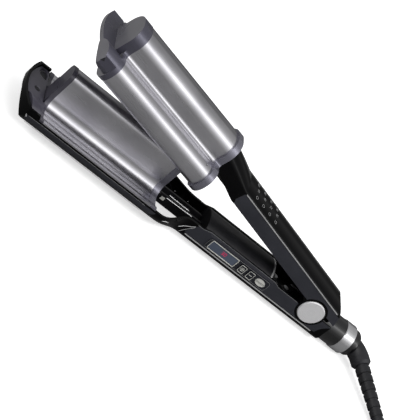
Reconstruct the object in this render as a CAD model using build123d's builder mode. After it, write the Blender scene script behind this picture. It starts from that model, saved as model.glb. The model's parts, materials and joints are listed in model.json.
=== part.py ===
from build123d import *
from math import cos, pi, radians, sin, tan
import os

os.makedirs("parts", exist_ok=True)

# A deep hair waver with two hinged arms. Sizes are in millimetres.
# X runs from the tips to the cord, Y from the control side to the back, Z up.
# Every piece is drawn about the hinge axis with the arms closed. The upper arm
# is turned to its resting opening when it is written.

# arms
opening = 11.5  # degrees between closed and resting
handle_rake = 2.5  # degrees the upper handle stands off its own barrel
tip_reach = 266.0  # hinge axis to the end of the lower tip
tip_bow = 8.0  # how far the tip bows out past its corners
barrel_half = 29.0  # half width of the wave barrel
handle_half = 14.5  # half width of the handles
neck_barrel = 141.0  # hinge axis to the barrel end of the neck
neck_handle = 114.0  # hinge axis to the handle end of the neck
tail = 21.0  # hinge axis to the cord end of the lower handle
wall = 2.0  # casing wall
fit_gap = 0.15  # clearance between pieces that are fixed together
move_gap = 0.4  # clearance between pieces that move

# wave plates, heights from the hinge axis
plate_tip = tip_reach - 18.5  # hinge axis to the tip end of the lower plate
plate_cord = neck_barrel + 10  # hinge axis to the cord end of the lower plate
rim_length = 5.0  # moulded rims at the neck
tip_rim = 2.5  # moulded rims at the tip
sheet = 1.0
hair_gap = 1.0  # between the closed plates
plate_edge = -3.0
edge_flat = barrel_half - 3  # half width where the level edge turns down
trough = -5.0
trough_bend = barrel_half - 6.5
edge_bend_r = 6.0
ridge_half = 7.3
ridge_top = 26.6
ridge_base_r = 9.0
ridge_top_r = 6.0
hump_half = 13.5
hump_top = 35.4
hump_r = 11.0
shoulder = 16.0
shoulder_r = 4.0
lobe_r = 9.6
rim_proud = 0.3
neck_proud = 1.5  # the upper barrel's neck rim stands off further
upper_plate_tip = plate_tip - 4.5
upper_plate_cord = neck_barrel + 5

# lower casing, heights from the hinge axis
lower_bottom = -19.2
boat_start = tip_reach - 28  # where the underside begins to rise to the tip
boat_top = -4.5
barrel_rim = plate_edge - sheet - fit_gap
barrel_belt = -5.6
handle_rim = -0.6
handle_belt = -12.6
control_rim = 1.2
tip_lip = -0.8
tip_floor = -2.6
tip_lobe_top = 0.4
tip_lobe_r = 10.0
tip_lobe_y = -17.0

tip_inside = tip_reach - wall - fit_gap
tip_wall = plate_tip + 0.6  # outer face of the ridge's end wall
tip_step = tip_wall + 0.6
tip_edge = tip_step + move_gap
screw_x = tip_reach - 10.7
dimple_long = 3.5
dimple_wide = 6.5

# upper handle casing, heights in the upper handle's own frame
upper_tail = tail - 1.1  # its cord end
upper_tail_belt = tail - 5.6
upper_rim = 3.3
upper_belt = 14.4
upper_crown = 19.2
upper_tail_rim = 6.7
dome_half = 12.0
dome_rim = 8.0
dome_belt = 17.0
dome_crown = 25.0

# heaters and small parts
heater_thick = 2.4
heater_high = 22.0
heater_wide = 7.0
thermistor_r = 0.9
thermistor_y = 10.9
screw_r = 1.1

# side strips and trims
strip = 1.0  # thickness of the satin strips
strip_start = 113.0
trim_high = 0.8
trim_proud = 0.35
band_top = -5.6
band_bottom = -11.0
band_thick = 0.8

# hinge
pin_r = 2.5
running = 0.05
ear_r = 11.7
ear_thick = 3.0
cap_r = 10.0
cap_proud = 1.0
cap_seat = 1.2
knuckle_r = 9.0
knuckle_thick = 3.5
spring_r = 4.6
spring_wire = 0.7
spring_pitch = 2.4
spring_turns = 4.5
spring_leg = 16.0
seat_y = 6.2

# controls
bezel_start = 96.0
bezel_end = 38.0
bezel_top = -1.9
bezel_bottom = -10.8
bezel_r = 2.2
bezel_proud = 0.4
window_start = 93.0
window_end = 69.0
window_high = 6.8
window_thick = 1.0
key_long = 5.4
key_high = 6.8
up_key_x = 62.5
down_key_x = 54.6
power_key_x = 45.0
power_long = 8.4
power_high = 5.2
control_mid = -6.35
key_travel = 0.8
key_proud = 0.9
key_flange = 0.8
board_y = 6.9 - handle_half
board_thick = 1.6

# swivel and cord
swivel_z = -8.4
collar_r = 11.5
collar_start = 14.0
ring_r = 12.0
ring_start = 36.2
ring_end = 45.8
swivel_r = 10.6
swivel_face = 52.0
stem_r = 5.0
relief_bend_x = 56.6
relief_turn = 62.4
relief_bend_r = 16.5
relief_length = 70.0  # from the bend to the end of the relief
relief_end_z = -15.8
relief_r0 = 7.4
relief_r1 = 5.8
relief_r2 = 4.4
relief_rib = 6.8
rib_count = 8
rib_long = 4.6
rib_deep = 1.0
cord_d = 7.0
coil_r = 40.0  # middle of the coil's turns
coil_x = 162.0
coil_y = -60.0
coil_wide = 21.0
coil_high = 21.0
coil_corner = 4.5
plug_body = 34.0
plug_wide = 27.0
plug_high = 13.6
pin_length = 19.0
pin_span = 19.0

arm_floor = swivel_z - ring_r
cord_z = arm_floor + cord_d / 2
hinge_x = (tip_reach - swivel_face) / 2
lower_pose = Location((hinge_x, 0, -arm_floor))
upper_pose = lower_pose * Location((0, 0, 0), (0, opening, 0))
handle_pose = lower_pose * Location((0, 0, 0), (0, opening + handle_rake, 0))


def across(x):
    return Plane(origin=(x, 0, 0), x_dir=(0, 1, 0), z_dir=(1, 0, 0))


def beside(y):
    return Plane(origin=(0, y, 0), x_dir=(1, 0, 0), z_dir=(0, -1, 0))


def write(piece, label, pose):
    placed = pose * piece.part
    placed.label = label
    export_step(placed, f"parts/{label}.step")


# The tip's outline from above, a shallow bow between two straight sides.
def tip_plan(half, reach, bow, cord_end):
    corner = bow - reach
    with BuildSketch() as plan:
        with BuildLine():
            ThreePointArc((corner, -half), (-reach, 0), (corner, half))
            Polyline((corner, half), (cord_end, half), (cord_end, -half), (corner, -half))
        make_face()
    return plan.sketch


# A casing section: upright sides from the rim to the belt, then a half ellipse.
def casing_section(half, rim, belt, crown):
    deep = crown - belt
    with BuildSketch() as section:
        with BuildLine():
            Line((-half, rim), (-half, belt))
            if deep < 0:
                EllipticalCenterArc((0, belt), half, -deep, start_angle=180, arc_size=180)
            else:
                EllipticalCenterArc((0, belt), half, deep, start_angle=0, arc_size=180)
            Polyline((half, belt), (half, rim), (-half, rim))
        make_face()
    return section.sketch


# The whole lower casing as a solid, shrunk by inset and open at the rim.
def lower_form(inset, lift):
    base = lower_bottom - 0.3
    bottom = base + inset
    boat_run = tip_reach - boat_start
    boat_rise = boat_top - base
    boat_r = (boat_run**2 + boat_rise**2) / (2 * boat_rise)
    with BuildPart() as form:
        with BuildSketch(across(-tip_reach)):
            add(casing_section(barrel_half - inset, barrel_rim + lift, barrel_belt, bottom))
        extrude(amount=tip_reach - neck_barrel)
        for along, blend in ((0.0, 0.0), (0.3, 0.18), (0.7, 0.82), (1.0, 1.0)):
            half = barrel_half + blend * (handle_half - barrel_half)
            rim = barrel_rim + blend * (handle_rim - barrel_rim)
            belt = barrel_belt + blend * (handle_belt - barrel_belt)
            with BuildSketch(across(-neck_barrel + along * (neck_barrel - neck_handle))):
                add(casing_section(half - inset, rim + lift, belt, bottom))
        loft()
        with BuildSketch(across(-neck_handle)):
            add(casing_section(handle_half - inset, handle_rim + lift, handle_belt, bottom))
        extrude(amount=neck_handle + tail)
        with BuildSketch(Plane.XY.offset(lower_bottom)):
            add(tip_plan(barrel_half - inset / 2, tip_reach - inset, tip_bow, tail))
        extrude(amount=-2 * lower_bottom, mode=Mode.INTERSECT)
        with BuildSketch(beside(2 * barrel_half)):
            with Locations((-boat_start, base + boat_r)):
                Circle(boat_r - inset)
            with Locations((-boat_start, bottom - 1)):
                Rectangle(boat_start + 2 * tail, 4 * boat_r, align=(Align.MIN, Align.MIN))
        extrude(amount=4 * barrel_half, mode=Mode.INTERSECT)
    return form.part


# The side view of a handle strip on the lower arm, raised round the controls.
def lower_strip_outline(inset):
    high = control_rim - inset
    low = handle_rim - inset
    foot = handle_belt + 0.9 + inset
    start = inset - strip_start
    with BuildSketch() as outline:
        with BuildLine():
            Polyline(
                (start, foot + 3),
                (start + 4, low),
                (-bezel_start - 9, low),
                (-bezel_start - 3, high),
                (-bezel_end + 1, high),
                (-bezel_end + 6, low),
                (tail - inset, low),
            )
            ThreePointArc((tail - inset, low), (tail - 4.5 - inset, (low + foot) / 2), (tail - 6 - inset, foot))
            Polyline((tail - 6 - inset, foot), (start, foot), (start, foot + 3))
        make_face()
    return outline.sketch


def bezel_outline(grow):
    long = bezel_start - bezel_end + 2 * grow
    high = bezel_top - bezel_bottom + 2 * grow
    with BuildSketch() as outline:
        with Locations((-(bezel_start + bezel_end) / 2, (bezel_top + bezel_bottom) / 2)):
            RectangleRounded(long, high, bezel_r)
    return outline.sketch


lower_outer = lower_form(0, 0)
lower_inner = lower_form(wall, 20)
lower_seat = lower_form(wall + fit_gap, 20)
band_back = lower_form(band_thick, 20)
band_bed = lower_form(band_thick + fit_gap, 20)


# The slanted window in which a satin band lies on the barrel's side.
def band_outline(grow):
    top = band_top + grow
    foot = band_bottom - grow
    start = tip_reach - tip_bow - 1 + grow
    end = neck_barrel + 3 - grow
    with BuildSketch() as outline:
        with BuildLine():
            Polyline((-start, top), (-end, top), (-end - 3, foot), (-start + 1, foot), (-start, top))
        make_face()
    return outline.sketch


# One side's band as a solid: the window cut from the casing's outer skin.
def side_band(side, grow):
    with BuildPart() as band:
        with BuildSketch(beside(0)):
            add(band_outline(grow))
        extrude(amount=-side * 2 * barrel_half)
        add(lower_outer, mode=Mode.INTERSECT)
        add(band_bed if grow else band_back, mode=Mode.SUBTRACT)
    return band.part


# lower casing
with BuildPart() as lower_casing:
    add(lower_outer)
    with BuildSketch(Plane.XY.offset(barrel_rim - 1)):
        add(tip_plan(barrel_half, tip_reach, tip_bow, -tip_edge))
    extrude(amount=tip_lip - barrel_rim + 1)
    with BuildSketch(beside(handle_half)):
        add(lower_strip_outline(0))
    extrude(amount=2 * handle_half)
    add(lower_inner, mode=Mode.SUBTRACT)
    for side in (1, -1):
        add(side_band(side, fit_gap), mode=Mode.SUBTRACT)
    with BuildSketch(Plane.XY.offset(lower_bottom)):
        with Locations((-(neck_barrel + neck_handle) / 2 + 2, 0)):
            RectangleRounded(neck_barrel - neck_handle - 2, 2 * handle_half - 8, 4)
    extrude(amount=wall + 3, both=True, mode=Mode.SUBTRACT)
    with BuildSketch(across(tail - wall - 8)):
        with Locations((0, swivel_z)):
            Circle(collar_r + fit_gap)
    extrude(amount=wall + 20, mode=Mode.SUBTRACT)
    for side in (1, -1):
        with BuildSketch(beside(side * handle_half)):
            Circle(ear_r)
        extrude(amount=side * ear_thick)
        with BuildSketch(beside(side * (handle_half - strip))):
            add(lower_strip_outline(0))
            Circle(ear_r + fit_gap, mode=Mode.SUBTRACT)
        extrude(amount=-side * 6, mode=Mode.SUBTRACT)
        with BuildSketch(beside(side * (handle_half - cap_seat))):
            Circle(cap_r + fit_gap)
        extrude(amount=-side * 6, mode=Mode.SUBTRACT)
    with BuildSketch(beside(-handle_half + wall + 2)):
        add(bezel_outline(fit_gap))
    extrude(amount=wall + 4, mode=Mode.SUBTRACT)
    with BuildSketch(beside(handle_half + 1)):
        Circle(pin_r + fit_gap)
    extrude(amount=2 * handle_half + 2, mode=Mode.SUBTRACT)
write(lower_casing, "lower_casing", lower_pose)


# The region under the lower plate's surface.
def ridge_profile(inset):
    floor = trough - 4
    flat = plate_edge - inset
    low = trough - inset
    side = ridge_half - inset
    with BuildSketch() as profile:
        with BuildLine():
            FilletPolyline(
                (-barrel_half, flat),
                (-edge_flat, flat),
                (-trough_bend, low),
                (-side, low),
                (-side, ridge_top - inset),
                (side, ridge_top - inset),
                (side, low),
                (trough_bend, low),
                (edge_flat, flat),
                (barrel_half, flat),
                radius=[
                    edge_bend_r,
                    edge_bend_r,
                    ridge_base_r + inset,
                    ridge_top_r - inset,
                    ridge_top_r - inset,
                    ridge_base_r + inset,
                    edge_bend_r,
                    edge_bend_r,
                ],
            )
            Polyline((barrel_half, flat), (barrel_half, floor), (-barrel_half, floor), (-barrel_half, flat))
        make_face()
    return profile.sketch


# The closed wave of the upper barrel: a hump on two lobes, hollow beneath.
def wave_profile(inset):
    channel = ridge_half + hair_gap + inset
    roof = ridge_top + hair_gap + inset
    foot = trough + hair_gap + inset
    hump = hump_half - inset
    top = hump_top - inset
    half = barrel_half - inset
    rest = shoulder - inset
    lobe = lobe_r - inset
    inner = ridge_base_r - hair_gap - inset
    with BuildSketch() as profile:
        with BuildLine():
            FilletPolyline(
                (-hump, top),
                (hump, top),
                (hump, rest),
                (half, rest),
                (half, foot),
                (channel, foot),
                (channel, roof),
                (-channel, roof),
                (-channel, foot),
                (-half, foot),
                (-half, rest),
                (-hump, rest),
                radius=[
                    hump_r - inset,
                    hump_r - inset,
                    shoulder_r + inset,
                    lobe,
                    lobe,
                    inner,
                    ridge_top_r - hair_gap + inset,
                    ridge_top_r - hair_gap + inset,
                    inner,
                    lobe,
                    lobe,
                    shoulder_r + inset,
                ],
                close=True,
            )
        make_face()
    return profile.sketch


# lower wave plate, a formed sheet with a tall ridge
with BuildPart() as lower_wave_plate:
    with BuildSketch(across(-plate_tip + tip_rim)):
        add(ridge_profile(0))
        add(ridge_profile(sheet), mode=Mode.SUBTRACT)
    extrude(amount=plate_tip - plate_cord - tip_rim)
write(lower_wave_plate, "lower_wave_plate", lower_pose)


# The filled ridge section, narrowed below the casing's rim to drop inside it.
def ridge_wall(inset):
    with BuildSketch() as section:
        add(ridge_profile(inset))
        for side in (-1, 1):
            with Locations((side * barrel_half, barrel_rim)):
                Rectangle(2 * (wall + fit_gap), 2 * ridge_top, align=(Align.CENTER, Align.MAX), mode=Mode.SUBTRACT)
        with Locations((0, trough - sheet - fit_gap)):
            Rectangle(2 * barrel_half, 2 * ridge_top, align=(Align.CENTER, Align.MAX), mode=Mode.SUBTRACT)
    return section.sketch


# moulded rim that closes the cord end of the lower plate
with BuildPart() as lower_neck_rim:
    with BuildSketch(across(-plate_cord)):
        add(ridge_profile(-rim_proud))
        add(ridge_profile(sheet), mode=Mode.SUBTRACT)
    extrude(amount=rim_length)
    with BuildSketch(across(-plate_cord + rim_length - wall)):
        add(ridge_wall(sheet / 2))
        with Locations((0, ridge_top / 2)):
            SlotOverall(ridge_top / 2, ridge_half, rotation=90, mode=Mode.SUBTRACT)
    extrude(amount=wall)
write(lower_neck_rim, "lower_neck_rim", lower_pose)

# Lower tip: a rim, the ridge's end wall with a low step, and a floor with a
# finger dimple, a raised lobe on the control side and a screw.
with BuildPart() as tip_slab:
    with BuildSketch(Plane.XY.offset(trough - 4)):
        add(tip_plan(barrel_half - wall - fit_gap, tip_inside, tip_bow, -tip_wall))
    extrude(amount=4 - 2 * rim_proud)
    with BuildSketch(Plane.XY.offset(trough - 1)):
        add(tip_plan(barrel_half - wall - fit_gap, tip_inside, tip_bow, -tip_edge))
    extrude(amount=tip_floor - trough + 1)
    add(lower_seat, mode=Mode.INTERSECT)
with BuildPart() as tip_lobe:
    with BuildSketch(Plane.XY.offset(tip_floor - 1)):
        add(tip_plan(barrel_half - wall - 1, tip_inside - 1, tip_bow, -tip_edge))
    extrude(amount=tip_lobe_top - tip_floor + 1)
    with BuildSketch(across(-tip_reach)):
        with Locations((tip_lobe_y, tip_lobe_top - tip_lobe_r)):
            Circle(tip_lobe_r)
    extrude(amount=tip_reach, mode=Mode.INTERSECT)
with BuildPart() as lower_tip_cap:
    add(tip_slab)
    add(tip_lobe)
    with BuildSketch(across(-plate_tip)):
        add(ridge_profile(-rim_proud))
        add(ridge_profile(sheet), mode=Mode.SUBTRACT)
    extrude(amount=tip_rim)
    with BuildSketch(across(-tip_wall)):
        add(ridge_wall(-rim_proud))
    extrude(amount=tip_wall - plate_tip)
    with BuildSketch(across(-tip_step)):
        with Locations((0, tip_floor)):
            Rectangle(2 * ridge_half, ridge_top / 2, align=(Align.CENTER, Align.MIN))
    extrude(amount=tip_step - tip_wall)
    with BuildSketch(Plane.XY.offset(tip_floor)):
        with Locations((-tip_edge - dimple_long - 0.8, barrel_half - dimple_wide - 3)):
            Ellipse(dimple_long, dimple_wide)
    extrude(amount=-1.4, mode=Mode.SUBTRACT)
    with Locations((-screw_x, 0, tip_floor)):
        CounterSinkHole(1.5, 2.6, depth=5)
write(lower_tip_cap, "lower_tip_cap", lower_pose)

with BuildPart() as lower_tip_screw:
    with BuildSketch(Plane.XZ.offset(0)):
        with BuildLine():
            Polyline(
                (0, tip_floor - 0.3),
                (2.15, tip_floor - 0.3),
                (1.35, tip_floor - 1.2),
                (1.35, tip_floor - 5),
                (0, tip_floor - 5),
                (0, tip_floor - 0.3),
            )
        make_face()
    revolve(axis=Axis.Z)
tip_screw_pose = lower_pose * Location((-screw_x, 0, 0))
write(lower_tip_screw, "lower_tip_screw", tip_screw_pose)

# lower heater: an aluminium bar in the ridge round a flat ceramic element
heater_end = plate_tip - 12.5
heater_start = plate_cord + 12
with BuildPart() as lower_heat_block:
    with BuildSketch(across(-heater_end)):
        add(ridge_profile(sheet + fit_gap))
        for side in (-1, 1):
            with Locations((side * 2 * edge_flat, 0)):
                Rectangle(3 * edge_flat, 4 * ridge_top, mode=Mode.SUBTRACT)
        with Locations((0, trough)):
            Rectangle(
                heater_thick + 2 * fit_gap,
                heater_high + fit_gap,
                align=(Align.CENTER, Align.MIN),
                mode=Mode.SUBTRACT,
            )
    extrude(amount=heater_end - heater_start)
    with BuildSketch(across(-heater_start)):
        with Locations((ridge_half / 2 + 0.4, ridge_top / 2)):
            Circle(1.2 + fit_gap)
    extrude(amount=-8, mode=Mode.SUBTRACT)
write(lower_heat_block, "lower_heat_block", lower_pose)

with BuildPart() as lower_heater:
    with BuildSketch(across(fit_gap - heater_end)):
        with Locations((0, trough)):
            Rectangle(heater_thick, heater_high, align=(Align.CENTER, Align.MIN))
    extrude(amount=heater_end - heater_start - 2 * fit_gap)
write(lower_heater, "lower_heater", lower_pose)

with BuildPart() as lower_thermistor:
    with BuildSketch(across(-heater_start)):
        with Locations((ridge_half / 2 + 0.4, ridge_top / 2)):
            Circle(1.2)
    extrude(amount=-8 + fit_gap)
    extrude(lower_thermistor.faces().sort_by(Axis.X)[-1], amount=3)
write(lower_thermistor, "lower_thermistor", lower_pose)

# open channel that carries the barrel's leads through the neck
channel_half = 5.0
channel_top = -3.6
channel_foot = -12.0
with BuildPart() as lower_neck_bracket:
    with BuildSketch(across(-plate_cord + rim_length + fit_gap)):
        with Locations((0, channel_foot)):
            Rectangle(2 * channel_half, channel_top - channel_foot, align=(Align.CENTER, Align.MIN))
        with Locations((0, channel_foot + 1.6)):
            Rectangle(2 * channel_half - 2.8, 20, align=(Align.CENTER, Align.MIN), mode=Mode.SUBTRACT)
    extrude(amount=plate_cord - rim_length - neck_handle + 9)
    with BuildSketch(across(-neck_handle + 2)):
        with Locations((0, lower_bottom)):
            Rectangle(2 * channel_half, channel_foot - lower_bottom + 1, align=(Align.CENTER, Align.MIN))
    extrude(amount=6)
    with BuildSketch(across(-plate_cord + rim_length + fit_gap)):
        with Locations((0, lower_bottom)):
            Rectangle(3.2 * channel_half, channel_top - lower_bottom, align=(Align.CENTER, Align.MIN))
        with Locations((0, channel_foot + 1.6)):
            Rectangle(2 * channel_half - 2.8, 20, align=(Align.CENTER, Align.MIN), mode=Mode.SUBTRACT)
    extrude(amount=2.4)
    add(lower_seat, mode=Mode.INTERSECT)
write(lower_neck_bracket, "lower_neck_bracket", lower_pose)

# crowned cover over the lower handle's electronics
cover_start = 103.5
cover_end = 40.0
cover_half = handle_half - wall - fit_gap
cover_side = 0.2
cover_crown = 4.6
cover_thick = 1.6
cover_foot = cover_side - cover_thick - 0.35
switch_wide = 5.2


def cover_section(inset, foot):
    half = cover_half - inset
    side = cover_side - inset
    with BuildSketch() as section:
        with BuildLine():
            ThreePointArc((-half, side), (0, cover_crown - inset), (half, side))
            Polyline((half, side), (half, foot), (-half, foot), (-half, side))
        make_face()
    return section.sketch


with BuildPart() as lower_inner_cover:
    with BuildSketch(across(-cover_start)):
        add(cover_section(0, cover_foot))
    extrude(amount=cover_start - cover_end - 1.4 - fit_gap)
    with BuildSketch(across(-cover_start + cover_thick)):
        add(cover_section(cover_thick, cover_foot))
    extrude(amount=cover_start, mode=Mode.SUBTRACT)
    with BuildSketch(across(-cover_start)):
        add(cover_section(0, -2 * cover_crown))
    extrude(amount=cover_thick)
write(lower_inner_cover, "lower_inner_cover", lower_pose)

with BuildPart() as lower_cover_trim:
    with BuildSketch(across(-cover_end - 1.4)):
        add(cover_section(0, cover_foot - cover_thick))
    extrude(amount=1.4)
write(lower_cover_trim, "lower_cover_trim", lower_pose)

# satin strips, one on each side of the lower handle
for name, side in (("lower_strip_front", -1), ("lower_strip_back", 1)):
    with BuildPart() as lower_strip:
        with BuildSketch(beside(side * handle_half)):
            add(lower_strip_outline(fit_gap))
            Circle(ear_r + 2 * fit_gap, mode=Mode.SUBTRACT)
            if side < 0:
                add(bezel_outline(fit_gap), mode=Mode.SUBTRACT)
        extrude(amount=side * (strip - fit_gap / 3))
    write(lower_strip, name, lower_pose)

# silver lines under the strips, let into the casing
accent_start = strip_start - 1
accent_end = 12.0
for name, side in (("lower_accent_front", -1), ("lower_accent_back", 1)):
    with BuildPart() as lower_accent:
        with BuildSketch(beside(side * (handle_half + trim_proud))):
            with Locations((-(accent_start - accent_end) / 2, handle_belt + 0.2)):
                Rectangle(accent_start + accent_end, trim_high)
        extrude(amount=side * (trim_proud + 0.8))
        add(lower_outer, mode=Mode.SUBTRACT)
    write(lower_accent, name, lower_pose)


# satin bands on the barrel's sides
for name, side in (("lower_band_front", -1), ("lower_band_back", 1)):
    with BuildPart() as lower_band:
        add(side_band(side, 0))
    write(lower_band, name, lower_pose)

# control panel: bezel, window, display, keys, switches and their board
panel_face = handle_half + bezel_proud
panel_back = handle_half - wall
bezel_mid = (bezel_start + bezel_end) / 2
window_mid = (window_start + window_end) / 2
window_long = window_start - window_end


def key_outline(x, grow):
    with BuildSketch() as outline:
        with Locations((-x, control_mid)):
            if x == power_key_x:
                Ellipse(power_long / 2 + grow, power_high / 2 + grow)
            else:
                RectangleRounded(key_long + 2 * grow, key_high + 2 * grow, 1.2 + grow)
    return outline.sketch


keys = {"up_key": up_key_x, "down_key": down_key_x, "power_key": power_key_x}
with BuildPart() as control_bezel:
    with BuildSketch(beside(-panel_back)):
        add(bezel_outline(0))
    extrude(amount=wall + bezel_proud)
    with BuildSketch(beside(-panel_back)):
        with Locations((-window_mid, control_mid)):
            RectangleRounded(window_long + 2 * fit_gap, window_high + 2 * fit_gap, 0.8)
        for x in keys.values():
            add(key_outline(x, move_gap / 2))
    extrude(amount=wall + bezel_proud, mode=Mode.SUBTRACT)
write(control_bezel, "control_bezel", lower_pose)

with BuildPart() as display_window:
    with BuildSketch(beside(-panel_face + window_thick + 0.2)):
        with Locations((-window_mid, control_mid)):
            RectangleRounded(window_long, window_high, 0.7)
    extrude(amount=window_thick)
write(display_window, "display_window", lower_pose)

with BuildPart() as display_module:
    with BuildSketch(beside(board_y - fit_gap)):
        with Locations((-window_mid, control_mid)):
            Rectangle(window_long + 1, window_high + 0.8)
    extrude(amount=panel_back + board_y - 2 * fit_gap)
    with BuildSketch(beside(-panel_back + fit_gap)):
        with Locations((-window_mid, control_mid)):
            Rectangle(window_long - 0.6, window_high - 0.6)
    extrude(amount=panel_face - window_thick - 0.2 - panel_back - fit_gap)
write(display_module, "display_module", lower_pose)

for name, x in keys.items():
    with BuildPart() as key:
        with BuildSketch(beside(-panel_back - 0.2)):
            add(key_outline(x, 0))
        extrude(amount=panel_face - panel_back - 0.2 + key_proud)
        with BuildSketch(beside(-panel_back + fit_gap + key_flange)):
            add(key_outline(x, key_flange))
        extrude(amount=key_flange)
        with BuildSketch(beside(-panel_back + fit_gap)):
            add(key_outline(x, -0.4))
        extrude(amount=fit_gap + 0.2)
    write(key, name, lower_pose)

switch_face = panel_back - fit_gap - key_flange - key_travel - 0.1
with BuildPart() as tact_switches:
    for x in keys.values():
        with BuildSketch(beside(board_y - fit_gap / 3)):
            with Locations((-x, control_mid)):
                Rectangle(switch_wide, switch_wide)
        extrude(amount=switch_face + board_y - 1.0)
        with BuildSketch(beside(-switch_face + 1.0 + fit_gap / 3)):
            with Locations((-x, control_mid)):
                Circle(1.6)
        extrude(amount=1.0)
write(tact_switches, "tact_switches", lower_pose)

with BuildPart() as control_board:
    with BuildSketch(beside(board_y + board_thick)):
        with Locations((-(bezel_start + 1 + cover_end + 2) / 2, lower_bottom)):
            Rectangle(bezel_start + 1 - cover_end - 2, handle_rim - lower_bottom - 1.2, align=(Align.CENTER, Align.MIN))
    extrude(amount=board_thick)
    add(lower_seat, mode=Mode.INTERSECT)
write(control_board, "control_board", lower_pose)

# hinge carrier screwed into the lower casing under the knuckles
carrier_start = 36.5
carrier_end = 10.5
carrier_top = -9.8
boss_r = 3.2
screw_places = ((-31.0, 4.2), (-31.0, -4.2), (-20.0, 0.0))
with BuildPart() as hinge_carrier:
    with BuildSketch(Plane.XY.offset(lower_bottom)):
        with Locations(((carrier_end - carrier_start) / 2, 0)):
            Rectangle(carrier_start + carrier_end, 2 * handle_half)
    extrude(amount=carrier_top - lower_bottom)
    with BuildSketch(across(-carrier_start)):
        with Locations((0, lower_bottom)):
            Rectangle(2 * handle_half, handle_rim - lower_bottom - 1, align=(Align.CENTER, Align.MIN))
    extrude(amount=1.8)
    with BuildSketch(Plane.XY.offset(carrier_top)):
        with Locations(*screw_places):
            Circle(boss_r)
    extrude(amount=3.2)
    with BuildSketch(Plane.XY.offset(carrier_top)):
        with Locations((2 - spring_leg, seat_y)):
            Rectangle(3.6, 3.6)
    extrude(amount=-spring_r - spring_wire - fit_gap - carrier_top)
    with BuildSketch(Plane.XY.offset(carrier_top + 3.2 - 5)):
        with Locations(*screw_places):
            Circle(1.1 + fit_gap)
    extrude(amount=6, mode=Mode.SUBTRACT)
    add(lower_seat, mode=Mode.INTERSECT)
    for side in (1, -1):
        with BuildSketch(beside(side * (handle_half - ear_thick - fit_gap))):
            Circle(ear_r + fit_gap)
        extrude(amount=-side * handle_half, mode=Mode.SUBTRACT)
write(hinge_carrier, "hinge_carrier", lower_pose)

with BuildPart() as carrier_screws:
    for x, y in screw_places:
        with Locations((x, y, carrier_top + 3.2 + fit_gap)):
            Cylinder(2.2, 1.4, align=(Align.CENTER, Align.CENTER, Align.MIN))
        with Locations((x, y, carrier_top + 3.2 + fit_gap)):
            Cylinder(1.1, 4.8, align=(Align.CENTER, Align.CENTER, Align.MAX))
write(carrier_screws, "carrier_screws", lower_pose)

# hinge pin, its two caps and the spring that opens the arms
pin_half = handle_half - cap_seat
with BuildPart() as hinge_pin:
    with BuildSketch(beside(pin_half)):
        Circle(pin_r)
    extrude(amount=2 * pin_half)
write(hinge_pin, "hinge_pin", lower_pose)

for name, side in (("hinge_cap_front", -1), ("hinge_cap_back", 1)):
    with BuildPart() as hinge_cap:
        with BuildSketch(beside(side * (pin_half + fit_gap / 3))):
            Circle(cap_r)
        extrude(amount=-side * (cap_seat + cap_proud - fit_gap / 3))
        chamfer(hinge_cap.faces().sort_by(Axis.Y)[0 if side < 0 else -1].edges(), 0.6)
    write(hinge_cap, name, lower_pose)

spring_long = spring_pitch * spring_turns
with BuildPart() as opening_spring:
    with BuildLine() as spring_line:
        turns = Helix(
            spring_pitch, spring_long, spring_r, center=(0, -spring_long / 2, 0), direction=(0, 1, 0)
        )
    first_leg = Plane(origin=turns @ 0, z_dir=-(turns % 0))
    last_leg = Plane(origin=turns @ 1, z_dir=turns % 1)
    with BuildSketch(last_leg):
        Circle(spring_wire)
    sweep(path=turns, is_frenet=True)
    for leg in (first_leg, last_leg):
        with BuildSketch(leg):
            Circle(spring_wire)
        extrude(amount=spring_leg)
write(opening_spring, "opening_spring", lower_pose)

# collar, chrome ring and the turning cord outlet
collar_bore = stem_r + running
spigot_r = 8.8


def outlet(x):
    return Plane(origin=(x, 0, swivel_z), x_dir=(0, 1, 0), z_dir=(1, 0, 0))


with BuildPart() as cord_collar:
    with BuildSketch(outlet(collar_start)):
        Circle(collar_r)
    extrude(amount=ring_start - collar_start)
    with BuildSketch(outlet(ring_start)):
        Circle(spigot_r)
    extrude(amount=ring_end - ring_start)
    with BuildSketch(outlet(collar_start - 1)):
        Circle(collar_bore)
    extrude(amount=60, mode=Mode.SUBTRACT)
write(cord_collar, "cord_collar", lower_pose)

with BuildPart() as chrome_ring:
    with BuildSketch(outlet(ring_start + fit_gap / 3)):
        Circle(ring_r)
        Circle(spigot_r + running, mode=Mode.SUBTRACT)
    extrude(amount=ring_end - ring_start - fit_gap / 3)
    chamfer(chrome_ring.edges().filter_by(GeomType.CIRCLE).group_by(SortBy.RADIUS)[-1], 0.5)
write(chrome_ring, "chrome_ring", lower_pose)

swivel_start = ring_end + move_gap
flange_end = collar_start - move_gap
with BuildPart() as swivel_end:
    with BuildSketch(Plane.XZ):
        with BuildLine():
            Polyline(
                (swivel_start, swivel_z),
                (swivel_start, swivel_z + swivel_r),
                (swivel_face - 2.6, swivel_z + swivel_r),
            )
            shoulder_arc = ThreePointArc(
                (swivel_face - 2.6, swivel_z + swivel_r),
                (swivel_face + 0.6, swivel_z + swivel_r - 1.6),
                (swivel_face + 1.6, swivel_z + swivel_r - 5),
            )
            Polyline(shoulder_arc @ 1, (swivel_face + 1.6, swivel_z), (swivel_start, swivel_z))
        make_face()
    revolve(axis=Axis((0, 0, swivel_z), (1, 0, 0)))
    with BuildSketch(outlet(flange_end)):
        Circle(stem_r)
    extrude(amount=swivel_start - flange_end)
    with BuildSketch(outlet(flange_end)):
        Circle(stem_r + 2)
    extrude(amount=-2)
write(swivel_end, "swivel_end", lower_pose)

# strain relief: a smooth elbow, then a ribbed taper down to the cord
bend = Vector(relief_bend_x, 0, swivel_z)
relief_fall = (swivel_z - relief_end_z) / relief_length
heading = Vector(cos(radians(relief_turn)), -sin(radians(relief_turn)), -relief_fall).normalized()
relief_end = bend + heading * relief_length


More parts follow.
